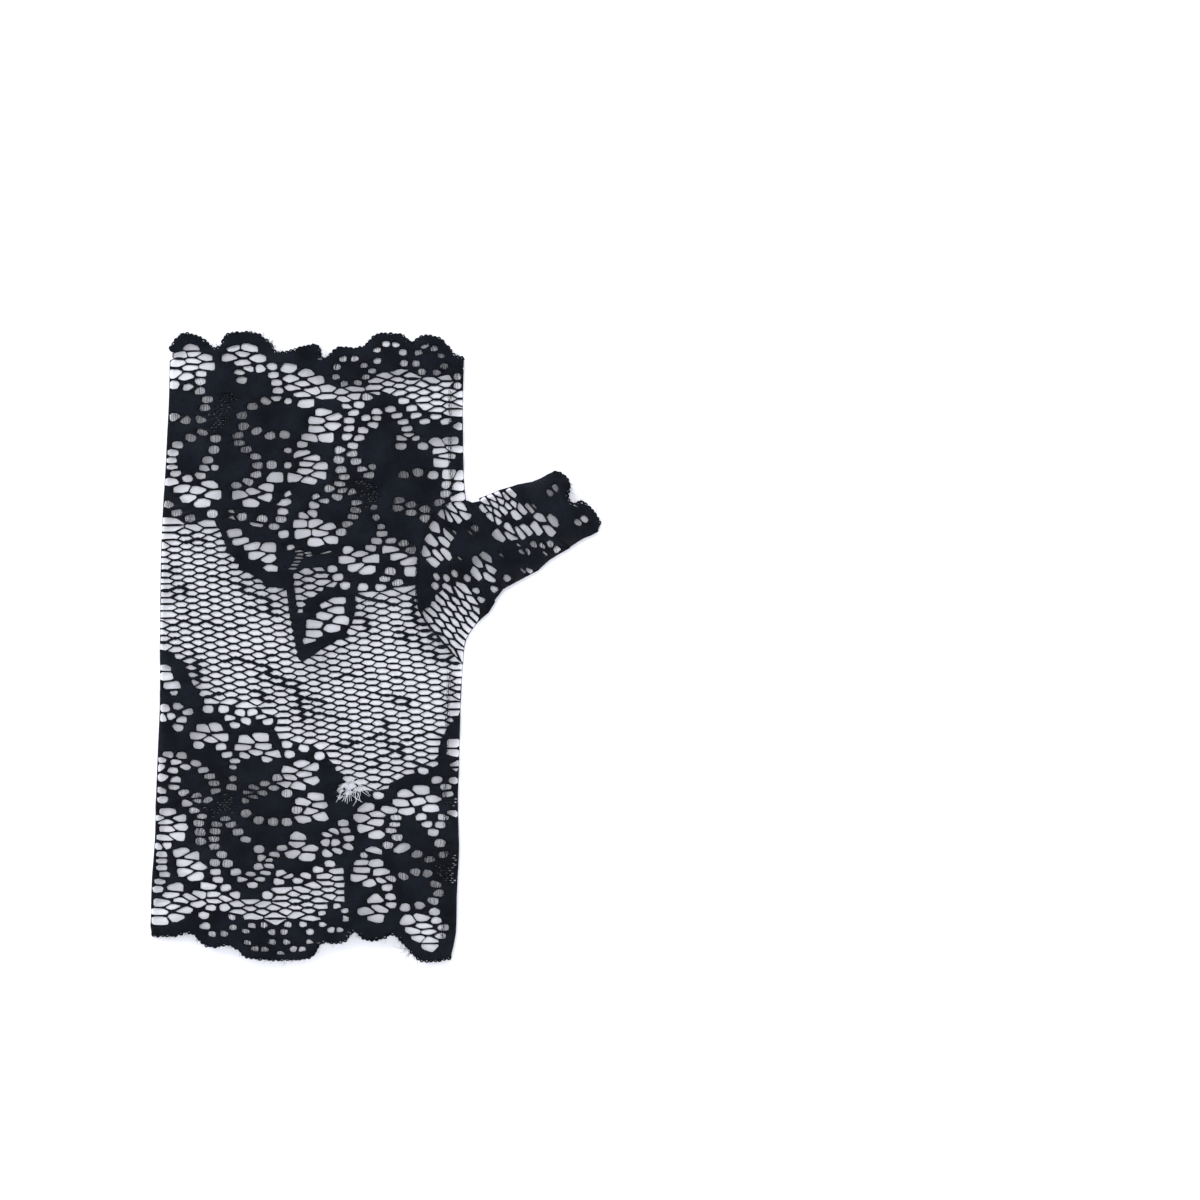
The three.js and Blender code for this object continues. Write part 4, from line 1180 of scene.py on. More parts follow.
    def build(self, pulled: list) -> None:
        """Makes the flat mesh: rims of thread round the holes and pillows over the closed ground.

        Args:
            pulled: routes of the threads that were pulled thicker.
        """
        seeds, raster = self.seeds, self.raster
        count = len(self.joints)
        thick = raster.at(raster.loft, self.joints) * self.rng.uniform(*self.thickness_spread, count)
        spokes = self.hole_spokes(self.chains(pulled))
        least = {Cell.DENSE: math.inf, Cell.MESH: self.least_mesh_hole}
        plan = [self.joints, self.joints]
        offset = [thick / 2, -thick / 2]
        faces: list = []
        runs: set = set()
        n, k = count * 2, 0
        for s, (ring, _) in self.rings.items():
            kind, middle, sides = Cell(seeds.kinds[s]), seeds.places[s], len(ring)
            pairs = [(ring[i], ring[(i + 1) % sides]) for i in range(sides)]
            runs.update((int(a), int(b)) for a, b in pairs)
            used = 0 if kind is Cell.DENSE else 2 * sides
            spoke = spokes[k:k + used]
            k += used
            if self.hole_area(spoke) < least.get(kind, self.least_hole):
                height = float(raster.at(raster.loft, middle)) / 2
                height *= self.pillow if kind is Cell.DENSE else 1
                plan.append(np.repeat(middle[None], 2, 0))
                offset.append(np.array([height, -height]))
                for a, b in pairs:
                    faces.append((a, b, n))
                    faces.append((b + count, a + count, n + 1))
                n += 2
            else:
                plan.append(middle + spoke)
                offset.append(np.zeros(used))
                for i, (a, b) in enumerate(pairs):
                    p, q, r = n + 2 * i, n + 2 * i + 1, n + (2 * i + 2) % used
                    faces.extend([(a, b, q, p), (b, r, q), (b + count, a + count, p, q), (b + count, q, r)])
                n += used
        for a, b in sorted(runs):
            if (b, a) not in runs:
                faces.append((b, a, a + count, b + count))
        self.plan = to_mm(np.vstack(plan))
        self.offset = np.concatenate(offset)
        self.faces = faces
        self.loft = raster.at(raster.loft, np.vstack(plan))

    @staticmethod
    def hole_area(spokes: np.ndarray) -> float:
        """Gives the area of a hole from the spokes to its rim, in chart squares."""
        x, y = spokes.T
        return abs(float((x * np.roll(y, -1) - y * np.roll(x, -1)).sum())) / 2


def closed_mesh(name: str, points: np.ndarray, faces: list, values: dict | None = None) -> bpy.types.Object:
    """Makes a smooth-shaded mesh object, whose place is in its mesh.

    Args:
        name: the object's name.
        points: the corners, in metres.
        faces: the faces, as rows of corners.
        values: numbers kept for each corner, by attribute name.

    Returns:
        The object, linked to the scene.
    """
    mesh = bpy.data.meshes.new(name)
    used, place = np.unique(np.concatenate([np.asarray(f) for f in faces]), return_inverse=True)
    sizes = np.array([len(f) for f in faces])
    starts = np.concatenate([[0], np.cumsum(sizes)[:-1]])
    mesh.vertices.add(len(used))
    mesh.vertices.foreach_set("co", points[used].astype(np.float32).ravel())
    mesh.loops.add(int(sizes.sum()))
    mesh.loops.foreach_set("vertex_index", place.astype(np.int32))
    mesh.polygons.add(len(faces))
    mesh.polygons.foreach_set("loop_start", starts.astype(np.int32))
    mesh.update(calc_edges=True)
    mesh.validate()
    mesh.shade_smooth()
    for key, numbers in (values or {}).items():
        layer = mesh.attributes.new(key, "FLOAT", "POINT")
        layer.data.foreach_set("value", np.asarray(numbers, np.float32)[used])
    made = bpy.data.objects.new(name, mesh)
    bpy.context.scene.collection.objects.link(made)
    return made


def linear(hex_colour: str) -> tuple:
    """Turns an sRGB hex colour into the linear colour that a shader's socket takes."""
    parts = [int(hex_colour[i:i + 2], 16) / 255 for i in (1, 3, 5)]
    return (*(c / 12.92 if c <= 0.04045 else ((c + 0.055) / 1.055) ** 2.4 for c in parts), 1.0)


def add_node(tree: bpy.types.NodeTree, kind: str, settings: dict | None = None,
             links: dict | None = None) -> bpy.types.Node:
    """Adds a node with its settings and links.

    Args:
        tree: the material's node tree.
        kind: the node's type.
        settings: its options and unlinked sockets, by name or number.
        links: the sockets that feed it, by the name or number of its own socket.

    Returns:
        The node.
    """
    made = tree.nodes.new(kind)
    for key, value in (settings or {}).items():
        if isinstance(key, str) and hasattr(made, key):
            setattr(made, key, value)
        else:
            made.inputs[key].default_value = value
    for key, source in (links or {}).items():
        tree.links.new(source, made.inputs[key])
    return made


def noise(tree: bpy.types.NodeTree, place: bpy.types.NodeSocket, size_mm: float, detail: float,
          **more: float) -> bpy.types.NodeSocket:
    """Adds cloudy noise with clouds of a given size, and gives its output."""
    settings = {"Scale": 1 / (size_mm * MM), "Detail": detail, **more}
    return add_node(tree, "ShaderNodeTexNoise", settings, {"Vector": place}).outputs["Fac"]


def blend(tree: bpy.types.NodeTree, first: str, second: str,
          share: bpy.types.NodeSocket) -> bpy.types.NodeSocket:
    """Adds a blend from one colour to another by a share, and gives its output."""
    settings = {"data_type": "RGBA", 6: linear(first), 7: linear(second)}
    return add_node(tree, "ShaderNodeMix", settings, {0: share}).outputs[2]


@dataclass(frozen=True)
class Stuff:
    """What a piece is made of: a surface worked out from the object's own coordinates."""

    name: str

    def surface(self, tree: bpy.types.NodeTree, place: bpy.types.NodeSocket) -> tuple[dict, dict]:
        """Adds the nodes of the surface.

        Args:
            tree: the material's node tree.
            place: the object's own coordinates.

        Returns:
            The settings and the links of the material's shader.
        """
        raise NotImplementedError

    def material(self) -> bpy.types.Material:
        """Builds the material.

        Returns:
            The material.
        """
        made = bpy.data.materials.new(self.name)
        made.use_nodes = True
        tree = made.node_tree
        tree.nodes.clear()
        place = add_node(tree, "ShaderNodeTexCoord").outputs["Object"]
        shader = add_node(tree, "ShaderNodeBsdfPrincipled", *self.surface(tree, place))
        add_node(tree, "ShaderNodeOutputMaterial", {}, {"Surface": shader.outputs[0]})
        return made


@dataclass(frozen=True)
class LaceYarn(Stuff):
    """Dyed polyamide yarn of a warp-knitted stretch lace, heat set: soft black with a faint blue cast.

    The eye sees near-black ground with the fine ribs of the knit in it, a dull highlight along raised
    threads, and a slightly paler, dustier tone where threads are fine and hairy.
    """

    name: str = "dyed_polyamide_stretch_lace"
    deep: str = "#04060C"
    worn: str = "#10141C"
    rib_mm: float = 0.62
    twist_mm: float = 0.34
    cloud_mm: float = 9.0
    bump_mm: float = 0.09
    roughness: float = 0.78
    specular: float = 0.05
    sheen: float = 0.015

    def surface(self, tree: bpy.types.NodeTree, place: bpy.types.NodeSocket) -> tuple[dict, dict]:
        """Adds ribs where the lace is closed, a twist everywhere and slow clouds of wear."""
        thick = add_node(tree, "ShaderNodeAttribute", {"attribute_name": "loft"}).outputs["Fac"]
        dense = add_node(tree, "ShaderNodeMapRange", {"From Min": 0.34, "From Max": 0.47}, {"Value": thick})
        ribs = add_node(tree, "ShaderNodeTexWave",
                        {"wave_type": "BANDS", "bands_direction": "X", "Scale": 0.314 / (self.rib_mm * MM),
                         "Distortion": 3.0, "Detail": 2.0, "Detail Scale": 1.4}, {"Vector": place})
        twist = noise(tree, place, self.twist_mm, 3.0, Roughness=0.62)
        cloud = noise(tree, place, self.cloud_mm, 2.0)
        relief = add_node(tree, "ShaderNodeMath", {"operation": "MULTIPLY_ADD"},
                          {0: ribs.outputs["Fac"], 1: dense.outputs["Result"], 2: twist})
        bump = add_node(tree, "ShaderNodeBump", {"Strength": 0.9, "Distance": self.bump_mm * MM},
                        {"Height": relief.outputs[0]})
        tone = add_node(tree, "ShaderNodeMath", {"operation": "MULTIPLY"}, {0: twist, 1: cloud})
        wear = add_node(tree, "ShaderNodeMapRange", {"From Min": 0.16, "From Max": 0.4},
                        {"Value": tone.outputs[0]})
        settings = {"Roughness": self.roughness, "Specular IOR Level": self.specular,
                    "Sheen Weight": self.sheen, "Sheen Roughness": 0.5}
        return settings, {"Base Color": blend(tree, self.deep, self.worn, wear.outputs["Result"]),
                          "Normal": bump.outputs[0]}


@dataclass(frozen=True)
class SeamThread(Stuff):
    """Textured polyester overlock thread: a loose, slightly shiny black yarn."""

    name: str = "textured_polyester_overlock_thread"
    deep: str = "#0B0C0F"
    # The paler colour is a painted highlight on the crests of the plies, blended in where they rise.
    worn: str = "#1A1C22"
    ply_mm: float = 0.3
    bump_mm: float = 0.06
    roughness: float = 0.7
    specular: float = 0.2

    def surface(self, tree: bpy.types.NodeTree, place: bpy.types.NodeSocket) -> tuple[dict, dict]:
        """Adds the thread's plies as bumps, and a painted highlight that turns the colour paler where the
        plies rise.
        """
        plies = noise(tree, place, self.ply_mm, 2.0)
        bump = add_node(tree, "ShaderNodeBump", {"Strength": 0.8, "Distance": self.bump_mm * MM},
                        {"Height": plies})
        # Painted highlight: the same ply heights that raise the bump turn the colour paler on the crests.
        return ({"Roughness": self.roughness, "Specular IOR Level": self.specular},
                {"Base Color": blend(tree, self.deep, self.worn, plies), "Normal": bump.outputs[0]})


@dataclass(frozen=True)
class ElastaneFilament(Stuff):
    """Bare elastane filament, wet spun and undyed: pale, milky and half translucent."""

    name: str = "bare_elastane_filament"
    pale: str = "#DCDEE6"
    dim: str = "#A4A7B2"
    cloud_mm: float = 1.4
    roughness: float = 0.45
    specular: float = 0.4

    def surface(self, tree: bpy.types.NodeTree, place: bpy.types.NodeSocket) -> tuple[dict, dict]:
        """Adds slow clouds from milky to dim."""
        cloud = noise(tree, place, self.cloud_mm, 1.0)
        return ({"Roughness": self.roughness, "Specular IOR Level": self.specular},
                {"Base Color": blend(tree, self.pale, self.dim, cloud)})


@dataclass(frozen=True)
class MattPaper(Stuff):
    """Matt white background paper: even, with the faintest tooth."""

    name: str = "matt_white_background_paper"
    tone: str = "#E6E7F0"
    shade: str = "#E1E3EC"
    grain_mm: float = 0.8
    roughness: float = 0.9
    specular: float = 0.1

    def surface(self, tree: bpy.types.NodeTree, place: bpy.types.NodeSocket) -> tuple[dict, dict]:
        """Adds the paper's tooth."""
        grain = noise(tree, place, self.grain_mm, 2.0)
        return ({"Roughness": self.roughness, "Specular IOR Level": self.specular},
                {"Base Color": blend(tree, self.tone, self.shade, grain)})


@dataclass
class LaceTube:
    """A tube of lace: one flat panel, laid over the form as its upper and its lower layer."""

    form: MittenForm
    yarn: bpy.types.Material
    node: str
    flat_size: tuple

    def panel(self) -> LacePanel:
        """Charts the tube's lace.

        Returns:
            The finished flat panel.
        """
        raise NotImplementedError

    def build(self) -> None:
        """Lays the panel over the form, once for each layer."""
        panel = self.panel()
        for layer in Layer:
            points = self.form.lay(panel.plan, panel.offset, layer)
            faces = panel.faces if layer is Layer.UPPER else [f[::-1] for f in panel.faces]
            name = f"{panel.name}_lace_{layer.name.lower()}"
            made = closed_mesh(name, points, faces, {"loft": panel.loft})
            made.data.materials.append(self.yarn)
            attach(made, "root")
            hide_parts(self.node)


@dataclass
class HandTube(LaceTube):
    """The hand part: two layers of the floral lace, joined along both side folds."""

    node: str = "hand_tube"
    flat_size: tuple = (0.0945, 0.188)

    def panel(self) -> LacePanel:
        """Charts the hand's lace: flowers, outlines and dots on open net, within the scalloped edges."""
        raster = ChartRaster()
        for shape in FIELDS:
            raster.set_field(shape)
        for breadth, route in BANDS:
            raster.close_band(breadth, curved(route))
        for shape in PETALS:
            raster.close_oval(shape, raster.petal_rise)
        for x, y, length, breadth in DOTS:
            raster.close_oval((x, y, length, breadth, 0), raster.petal_rise)
        for route in (FINGER_EDGE, WRIST_EDGE):
            raster.close_band(2 * EDGE_BAND, curved(route))
        outline = LEFT_FOLD + FINGER_EDGE + RIGHT_FOLD_TOP + SEAM_LINE + RIGHT_FOLD_LOW + WRIST_EDGE
        folds = [LEFT_FOLD, RIGHT_FOLD_TOP, RIGHT_FOLD_LOW]
        made = LacePanel("hand", raster, [FINGER_EDGE, WRIST_EDGE], folds, [SEAM_LINE], outline)
        made.edge_seeds()
        made.open_seeds([(WINDOWS, HAND_WINDOW), (EYELETS, HAND_EYELET), (PINHOLES, HAND_PINHOLE),
                         (SLITS, HAND_SLIT)], MESH_SPOTS)
        made.closed_seeds()
        made.cells()
        made.build(PULLED_THREADS)
        return made


@dataclass
class ThumbTube(LaceTube):
    """The set-in thumb: two layers of closer lace, from the seam to the scalloped mouth."""

    node: str = "thumb_tube"
    flat_size: tuple = (0.042, 0.049)
    turn: float = 43.0

    def panel(self) -> LacePanel:
        """Charts the thumb's lace: closed ground with its openings, and a patch of net at its root."""
        raster = ChartRaster()
        outline = THUMB_UPPER_FOLD + THUMB_MOUTH + THUMB_LOWER_FOLD + SEAM_LINE[::-1]
        raster.set_field(outline)
        raster.set_field(THUMB_NET, closed=False)
        for breadth, route in THUMB_BANDS:
            raster.close_band(breadth, curved(route))
        for shape in THUMB_PETALS:
            raster.close_oval(shape, raster.petal_rise * 0.6)
        raster.close_band(1.3 * EDGE_BAND, curved(THUMB_MOUTH))
        made = LacePanel("thumb", raster, [THUMB_MOUTH], [THUMB_UPPER_FOLD, THUMB_LOWER_FOLD],
                         [SEAM_LINE[::-1]], outline, turn=self.turn, level_thread=1.14, slant_thread=0.84,
                         wavy_threads=60, seed=11)
        made.edge_seeds()
        made.open_seeds([(THUMB_FINE_WINDOW, THUMB_FINE_CELL), (THUMB_WINDOWS, THUMB_WINDOW),
                         (THUMB_EYELETS, THUMB_EYELET), (THUMB_SLITS, THUMB_SLIT)], [])
        made.closed_seeds()
        made.cells()
        made.build([])
        return made


def joined(parts: list) -> tuple[np.ndarray, list]:
    """Joins meshes, each a pair of corners and faces, into one."""
    faces, total = [], 0
    for corners, rows in parts:
        faces.extend(tuple(v + total for v in row) for row in rows)
        total += len(corners)
    return np.vstack([corners for corners, _ in parts]), faces


def loose_threads(name: str, points: np.ndarray, faces: list, stuff: bpy.types.Material,
                  loft: float | None = None) -> None:
    """Makes one piece of loose threads, which belongs to the lace but replaces no solid.

    Args:
        name: the piece's name.
        points: the corners, in millimetres.
        faces: the faces, as rows of corners.
        stuff: the threads' material.
        loft: the thickness of lace that the material takes them for, or none for another material.
    """
    values = None if loft is None else {"loft": np.full(len(points), loft)}
    made = closed_mesh(name, points * MM, faces, values)
    made.data.materials.append(stuff)
    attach(made, "root")
    log.info("%s: %d faces", name, len(faces))


def skin(lines: np.ndarray, radius: np.ndarray, sides: int) -> tuple[np.ndarray, list]:
    """Skins many short threads, each a row of points, with round tubes closed at both ends.

    Args:
        lines: the threads' points, as threads by points by three.
        radius: half the thickness, for each thread and point.
        sides: how many sides a thread has.

    Returns:
        The corners and the faces.
    """
    count, rows = lines.shape[:2]
    ahead = unit(np.gradient(lines, axis=1))
    across = unit(np.cross(ahead, (0.21, 0.13, 0.97)))
    rise = np.cross(across, ahead)
    angle = np.arange(sides) / sides * 2 * math.pi
    turn = np.cos(angle)[:, None] * across[:, :, None] + np.sin(angle)[:, None] * rise[:, :, None]
    points = (lines[:, :, None] + radius[:, :, None, None] * turn).reshape(-1, 3)
    faces = []
    for n in range(count):
        base = n * rows * sides
        for k in range(rows - 1):
            for i in range(sides):
                a, b = base + k * sides + i, base + k * sides + (i + 1) % sides
                faces.append((a, a + sides, b + sides, b))
        faces.append(tuple(base + i for i in range(sides)))
        faces.append(tuple(base + (rows - 1) * sides + i for i in reversed(range(sides))))
    return points, faces


@dataclass
class EdgeTrim:
    """Picot loops along the scalloped edges, with the short fibres that stand off them."""

    form: MittenForm
    yarn: bpy.types.Material
    name: str
    routes: list
    pitch: float = 4.5
    rise: float = 2.5
    tuck: float = 0.9
    loop_width: float = 1.06
    thread: float = 0.23
    fibre: float = 0.045
    fibre_pitch: float = 1.6
    fibre_share: float = 0.42
    broken_share: float = 0.12
    worn: tuple = ((264, 342), (408, 950))
    worn_reach_squared: float = 90.0
    clearance: float = 0.15
    seed: int = 23

    def build(self) -> None:
        """Makes the loops and the fibres along every edge, on both layers."""
        rng = np.random.default_rng(self.seed)
        parts = []
        for route in self.routes:
            along = curved(route, 6)
            for layer in Layer:
                parts.append(skin(*self.loops(along, layer, rng), sides=5))
                parts.append(skin(*self.fibres(along, layer, rng), sides=3))
        loose_threads(self.name, *joined(parts), self.yarn, loft=0.4)

    @staticmethod
    def outward(step: np.ndarray) -> np.ndarray:
        """Gives the directions off the edge, for steps along it."""
        return unit(np.stack([step[:, 1], -step[:, 0]], -1))

    def loops(self, along: np.ndarray, layer: Layer, rng: np.random.Generator) -> tuple:
        """Makes the picots: small arches of yarn that stand out from the edge.

        Args:
            along: the edge on the chart.
            layer: the layer that it belongs to.
            rng: the seeded random numbers.

        Returns:
            The lines and their radii.
        """
        feet = even(along, self.pitch)
        step = np.diff(feet, axis=0)
        out = self.outward(step)
        t = np.linspace(0, 1, 8)
        height = self.rise * rng.uniform(0.55, 1.25, len(step))
        height = height * np.where(rng.random(len(step)) < self.broken_share, 0.3, 1)
        skew = rng.normal(0, 0.1, len(step))
        arch = np.sin(t * math.pi) ** 0.7
        lean = (t - 0.5) * self.loop_width
        along_step = (lean + skew[:, None] * arch)[:, :, None]
        base = (feet[:-1] + feet[1:])[:, None] / 2 + step[:, None] * along_step
        line = base + out[:, None] * (height[:, None] * arch - self.tuck)[:, :, None]
        flat = self.form.lifted(line, layer)
        flat[..., 2] += rng.normal(0, 0.07, len(step))[:, None] * arch
        return flat, self.thread * rng.uniform(0.75, 1.2, len(step))[:, None] * np.ones(len(t))

    def fibres(self, along: np.ndarray, layer: Layer, rng: np.random.Generator) -> tuple:
        """Makes the fine broken fibres that stand off the picots.

        Args:
            along: the edge on the chart.
            layer: the layer that it belongs to.
            rng: the seeded random numbers.

        Returns:
            The lines and their radii.
        """
        feet = even(along, self.fibre_pitch)
        step = np.diff(feet, axis=0)
        wear = sum(np.exp(-((feet[:-1] - spot) ** 2).sum(1) / self.worn_reach_squared) for spot in self.worn)
        keep = rng.random(len(step)) < self.fibre_share + wear
        feet, out, step = feet[:-1][keep], self.outward(step)[keep], step[keep]
        count = len(feet)
        length = (rng.gamma(2.4, 0.8, count) * (1 + 1.3 * wear[keep]))[:, None] + 0.8
        t = np.linspace(0, 1, 4)
        bend = rng.normal(0, 0.7, count)[:, None]
        swing = rng.normal(0, 0.5, count)[:, None]
        line = (feet[:, None] + out[:, None] * (length * t)[:, :, None]
                + unit(step)[:, None] * (length * (swing * t + bend * t**2))[:, :, None])
        flat = self.form.lifted(line, layer)
        flat[..., 2] += rng.uniform(-0.25, 0.5, count)[:, None] * t
        flat[..., 2] = np.maximum(flat[..., 2], self.clearance)
        return flat, self.fibre * np.ones((count, 1)) * (1.15 - 0.6 * t)


@dataclass
class LaidInThreads:
    """Fine laid-in threads of the ground: a grey veil across the eyelets near the flowers' hearts."""

    form: MittenForm
    yarn: bpy.types.Material
    hearts: tuple = ((207, 415), (226, 420), (250, 460), (345, 480), (366, 505), (385, 470), (214, 800),
                     (208, 835), (262, 800), (440, 868), (400, 850), (532, 540), (475, 527), (180, 514),
                     (252, 516), (244, 940), (262, 935), (350, 371), (440, 365), (404, 556), (425, 512))
    reach: float = 26.0
    densest: float = 0.64
    thinnest: float = 0.08
    half_span: float = 5.4
    half_length: float = 4.6
    eyelet_half: float = 6.0
    radius: float = 0.045
    seed: int = 47

    def build(self) -> None:
        """Lays the threads lengthwise over each eyelet of the upper layer, closest near the hearts."""
        rng = np.random.default_rng(self.seed)
        holes = np.array(EYELETS + THUMB_EYELETS + PINHOLES, float)
        far = np.linalg.norm(holes[:, None] - np.array(self.hearts, float)[None], axis=2).min(1)
        cover = self.densest * np.exp(-((far / self.reach) ** 2)) * rng.uniform(0.3, 1.15, len(holes))
        breadth = 2 * self.radius / SQUARE_MM
        starts, ends = [], []
        for (x, y), share in zip(holes, cover):
            if share < self.thinnest:
                continue
            across = np.arange(-self.half_span, self.half_span, breadth / share)
            across = across + rng.normal(0, 0.22, len(across))
            lean = rng.normal(0, 0.5)
            for offset in across:
                half = self.half_length * math.sqrt(max(0.1, 1 - (offset / self.eyelet_half) ** 2))
                starts.append((x + offset - lean + rng.normal(0, 0.3), y - half))
                ends.append((x + offset + lean + rng.normal(0, 0.3), y + half))
        t = np.linspace(0, 1, 3)[None, :, None]
        line = np.array(starts)[:, None] * (1 - t) + np.array(ends)[:, None] * t
        line[:, 1, 0] += rng.normal(0, 0.35, len(line))
        line = line[inside(line, np.array(MITTEN_OUTLINE, float)).all(1)]
        body = self.form.lifted(line, Layer.UPPER)
        threads = skin(body, np.full(body.shape[:2], self.radius), 4)
        loose_threads("laid_in_threads", *threads, self.yarn, loft=0.3)


@dataclass
class FrayedSpot:
    """A worn place where a few bare elastane filaments have pulled out of the net and fan over it."""

    form: MittenForm
    filament: bpy.types.Material
    knot: tuple = (353, 781)
    spread: tuple = (5.5, 3.0)
    tufts: tuple = (48.0, 98.0, 122.0, 148.0)
    tuft_spread: float = 12.0
    lengths: tuple = (9.0, 25.0)
    bend: float = 0.16
    clearance: float = 0.15
    count: int = 38
    radius: float = 0.055
    seed: int = 31

    def build(self) -> None:
        """Fans the filaments out from the knot, on the upper layer."""
        rng = np.random.default_rng(self.seed)
        t = np.linspace(0, 1, 7)
        angle = np.radians(rng.choice(self.tufts, self.count) + rng.normal(0, self.tuft_spread, self.count))
        length = rng.uniform(*self.lengths, self.count)
        start = np.array(self.knot) + rng.normal(0, self.spread, (self.count, 2))
        way = np.stack([np.cos(angle), np.sin(angle)], -1)
        cross = np.stack([-way[:, 1], way[:, 0]], -1)
        bow = rng.normal(0, self.bend, self.count)[:, None] * length[:, None] * t**2
        line = (start[:, None] + way[:, None] * (length[:, None] * t)[:, :, None]
                + cross[:, None] * bow[:, :, None])
        body = self.form.lifted(line, Layer.UPPER)
        lift = rng.uniform(0.25, 0.75, self.count)[:, None] * np.sin(t * 2.6) ** 0.8
        body[..., 2] = body[..., 2] + self.clearance + lift
        filaments = skin(body, np.full(body.shape[:2], self.radius), 4)
        loose_threads("frayed_filaments", *filaments, self.filament)


@dataclass
class OverlockSeam:
    """An overlocked seam inside the fold: a flat ridge of cloth wrapped in loops of thread."""

    form: MittenForm
    thread: bpy.types.Material
    name: str
    node: str
    route: np.ndarray
    breadth: float = 2.4
    core: float = 0.45
    height: float = 0.62
    sink: float = 0.0
    pitch: float = 1.7
    thread_radius: float = 0.12
    slim_from: float = 2.0
    slimmest: float = 0.4
    core_step: float = 1.2
    turn_points: int = 11
    lean: float = 0.42

    def rows(self, layer: Layer | None, step: float) -> np.ndarray:
        """Gives the middle line of the ridge, in millimetres.

        Args:
            layer: the layer that it lies against, or none where it lies on the fold's own level.
            step: the spacing of the points.

        Returns:
            The line's points.
        """
        line = even(self.route, step)
        if layer is None:
            return np.column_stack([line, np.full(len(line), self.form.fold_height / 2 - 0.1)])
        inward = self.sink * -layer.value
        return np.column_stack([line, self.form.middle_height(line, layer) + inward])

    @staticmethod
    def frames(line: np.ndarray) -> tuple[np.ndarray, np.ndarray]:
        """Gives the sideways and upward directions along a line."""
        along = unit(np.gradient(line, axis=0))
        side = unit(np.cross(along, (0, 0, 1)))
        return side, np.cross(side, along)

    @staticmethod
    def tube(line: np.ndarray, across: np.ndarray, up: np.ndarray, sides: int) -> tuple[np.ndarray, list]:
        """Skins a line with an oval tube that is closed at both ends.

        Args:
            line: the tube's middle line.
            across: half its breadth, at each point, as a vector.
            up: half its height, at each point, as a vector.
            sides: how many sides it has.

        Returns:
            The corners and the faces.
        """
        angle = (np.arange(sides) / sides * 2 * math.pi)[None, :, None]
        ring = line[:, None] + np.cos(angle) * across[:, None] + np.sin(angle) * up[:, None]
        count = len(line)
        faces = []
        for k in range(count - 1):
            for i in range(sides):
                j = (i + 1) % sides
                faces.append((k * sides + i, (k + 1) * sides + i, (k + 1) * sides + j, k * sides + j))
        points = np.vstack([ring.reshape(-1, 3), line[:1], line[-1:]])
        first, last = count * sides, count * sides + 1
        for i in range(sides):
            j = (i + 1) % sides
            faces.append((i, j, first))
            faces.append(((count - 1) * sides + j, (count - 1) * sides + i, last))
        return points, faces

    def loops(self, line: np.ndarray) -> np.ndarray:
        """Winds the overlock thread round the ridge: up one side, over and back underneath."""
        side, up = self.frames(line)
        run = run_along(line)
        turns = run[-1] / self.pitch
        at = np.linspace(0, run[-1], int(turns * self.turn_points))
        phase = at / self.pitch * 2 * math.pi
        spot = np.clip(at + self.lean * self.pitch * np.sin(2 * phase), 0, run[-1])
        pick = [np.stack([np.interp(spot, run, v[:, i]) for i in range(3)], -1) for v in (line, side, up)]
        a = self.breadth / 2 * self.slimming(spot / run[-1])[:, None]
        b = self.height / 2 + self.thread_radius * 0.6
        return pick[0] + np.cos(phase)[:, None] * pick[1] * a + np.sin(phase)[:, None] * pick[2] * b

    def slimming(self, share: np.ndarray) -> np.ndarray:
        """Narrows the seam past a share of its length, where it runs through open net."""
        return np.interp(share, [self.slim_from, self.slim_from + 0.12], [1.0, self.slimmest])

    def build(self, layers: tuple) -> None:
        """Makes the seam along its route, once for each layer that it lies against.

        Args:
            layers: the layers, or none for a seam on the fold's own level.
        """
        parts = []
        for layer in layers:
            line = self.rows(layer, self.core_step)
            side, up = self.frames(line)
            wound = self.loops(line)
            ahead = unit(np.gradient(wound, axis=0))
            flat = unit(np.cross(ahead, (0.3, 0.2, 0.93)))
            rise = np.cross(flat, ahead)
            slim = self.slimming(np.linspace(0, 1, len(line)))[:, None]
            parts.append(self.tube(line, side * slim * self.core / 2, up * self.height * 0.4, 8))
            parts.append(self.tube(wound, flat * self.thread_radius, rise * self.thread_radius, 5))
        points, faces = joined(parts)
        made = closed_mesh(self.name, points * MM, faces)
        made.data.materials.append(self.thread)
        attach(made, "root")
        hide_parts(self.node)
        log.info("%s: %d faces", self.name, len(faces))


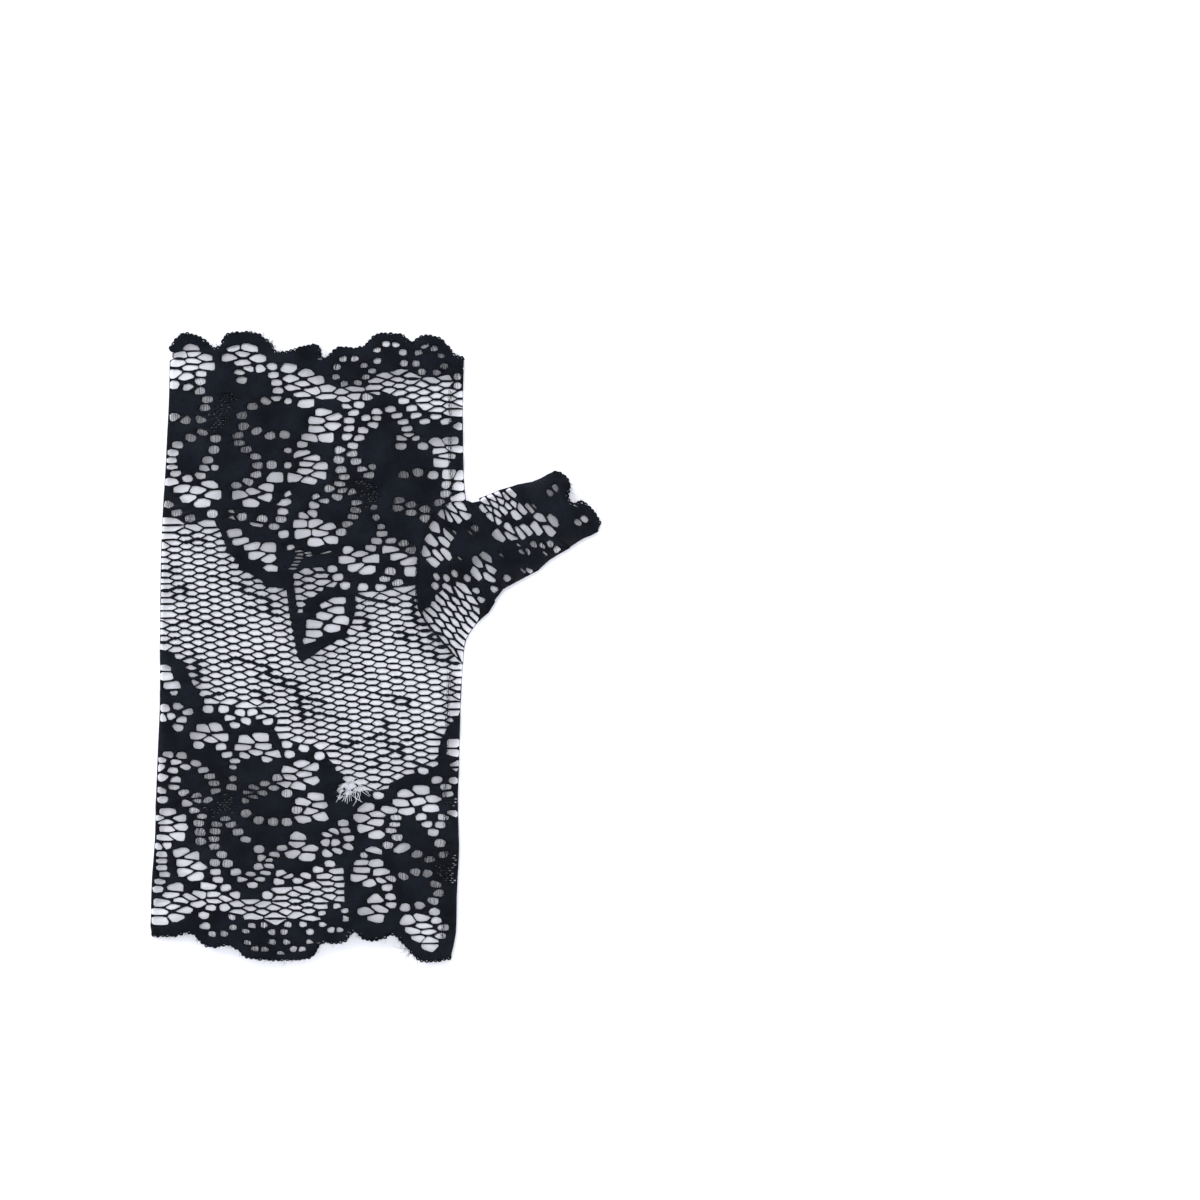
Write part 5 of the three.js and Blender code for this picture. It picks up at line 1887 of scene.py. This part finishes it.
@dataclass
class Studio:
    """Plain pale floor, soft light and the camera straight above."""

    paper: bpy.types.Material
    aim: tuple = (0.06735, 0.01395)
    distance: float = 6.0
    lens: float = 600.0
    sensor: float = 36.0
    near_clip: float = 0.5
    far_clip: float = 30.0
    floor_size: float = 6.0
    sky: float = 1.6
    lamp_power: float = 26.0
    lamp_size: tuple = (1.6, 1.2)
    lamp_place: tuple = (-0.5, 0.9, 1.5)

    def build(self) -> None:
        """Builds the floor, the lights and the camera."""
        bpy.ops.mesh.primitive_plane_add(size=self.floor_size)
        floor = bpy.context.object
        floor.name = "paper_floor"
        floor.data.materials.append(self.paper)
        world = bpy.data.worlds.new("studio_room")
        bpy.context.scene.world = world
        world.use_nodes = True
        backdrop = world.node_tree.nodes["Background"]
        backdrop.inputs["Color"].default_value = (1, 1, 1, 1)
        backdrop.inputs["Strength"].default_value = self.sky
        lamp = bpy.data.lights.new("soft_box", "AREA")
        lamp.shape = "RECTANGLE"
        lamp.size, lamp.size_y = self.lamp_size
        lamp.energy = self.lamp_power
        holder = bpy.data.objects.new("soft_box", lamp)
        holder.location = self.lamp_place
        holder.rotation_euler = (Vector((0, 0, 0)) - holder.location).to_track_quat("-Z", "Y").to_euler()
        bpy.context.scene.collection.objects.link(holder)
        view = bpy.data.cameras.new("photo_camera")
        view.lens = self.lens
        view.sensor_width = self.sensor
        view.clip_start = self.near_clip
        view.clip_end = self.far_clip
        eye = bpy.data.objects.new("photo_camera", view)
        eye.location = (*self.aim, self.distance)
        bpy.context.scene.collection.objects.link(eye)
        bpy.context.scene.camera = eye
        bpy.context.scene.view_settings.view_transform = "Standard"


def main() -> None:
    """Builds the mitten and its studio in order."""
    logging.basicConfig(level=logging.INFO, format="%(name)s: %(message)s")
    bpy.ops.object.select_all(action="DESELECT")
    form = MittenForm()
    log.info("form ready")
    yarn = LaceYarn().material()
    thread = SeamThread().material()
    HandTube(form, yarn).build()
    ThumbTube(form, yarn).build()
    EdgeTrim(form, yarn, "edge_picots", [FINGER_EDGE, WRIST_EDGE, THUMB_MOUTH]).build()
    LaidInThreads(form, yarn).build()
    FrayedSpot(form, ElastaneFilament().material()).build()
    seam = to_mm(curved(SEAM_LINE))
    OverlockSeam(form, thread, "thumb_seam_overlock", "thumb_seam", seam[4:-4], breadth=1.0, sink=0.62,
                 slim_from=0.62).build((Layer.UPPER, Layer.LOWER))
    top = to_mm(curved(RIGHT_FOLD_TOP[::-1])) - SIDE_SEAM_INSET
    OverlockSeam(form, thread, "side_seam_finger_overlock", "side_seam_finger", top[1:-3], breadth=1.1,
                 core=0.24, thread_radius=0.065).build((None,))
    low = to_mm(curved(RIGHT_FOLD_LOW)) - SIDE_SEAM_INSET
    OverlockSeam(form, thread, "side_seam_wrist_overlock", "side_seam_wrist", low[2:-3], breadth=1.1,
                 core=0.24, thread_radius=0.065).build((None,))
    Studio(MattPaper().material()).build()


if __name__ == "__main__":
    main()
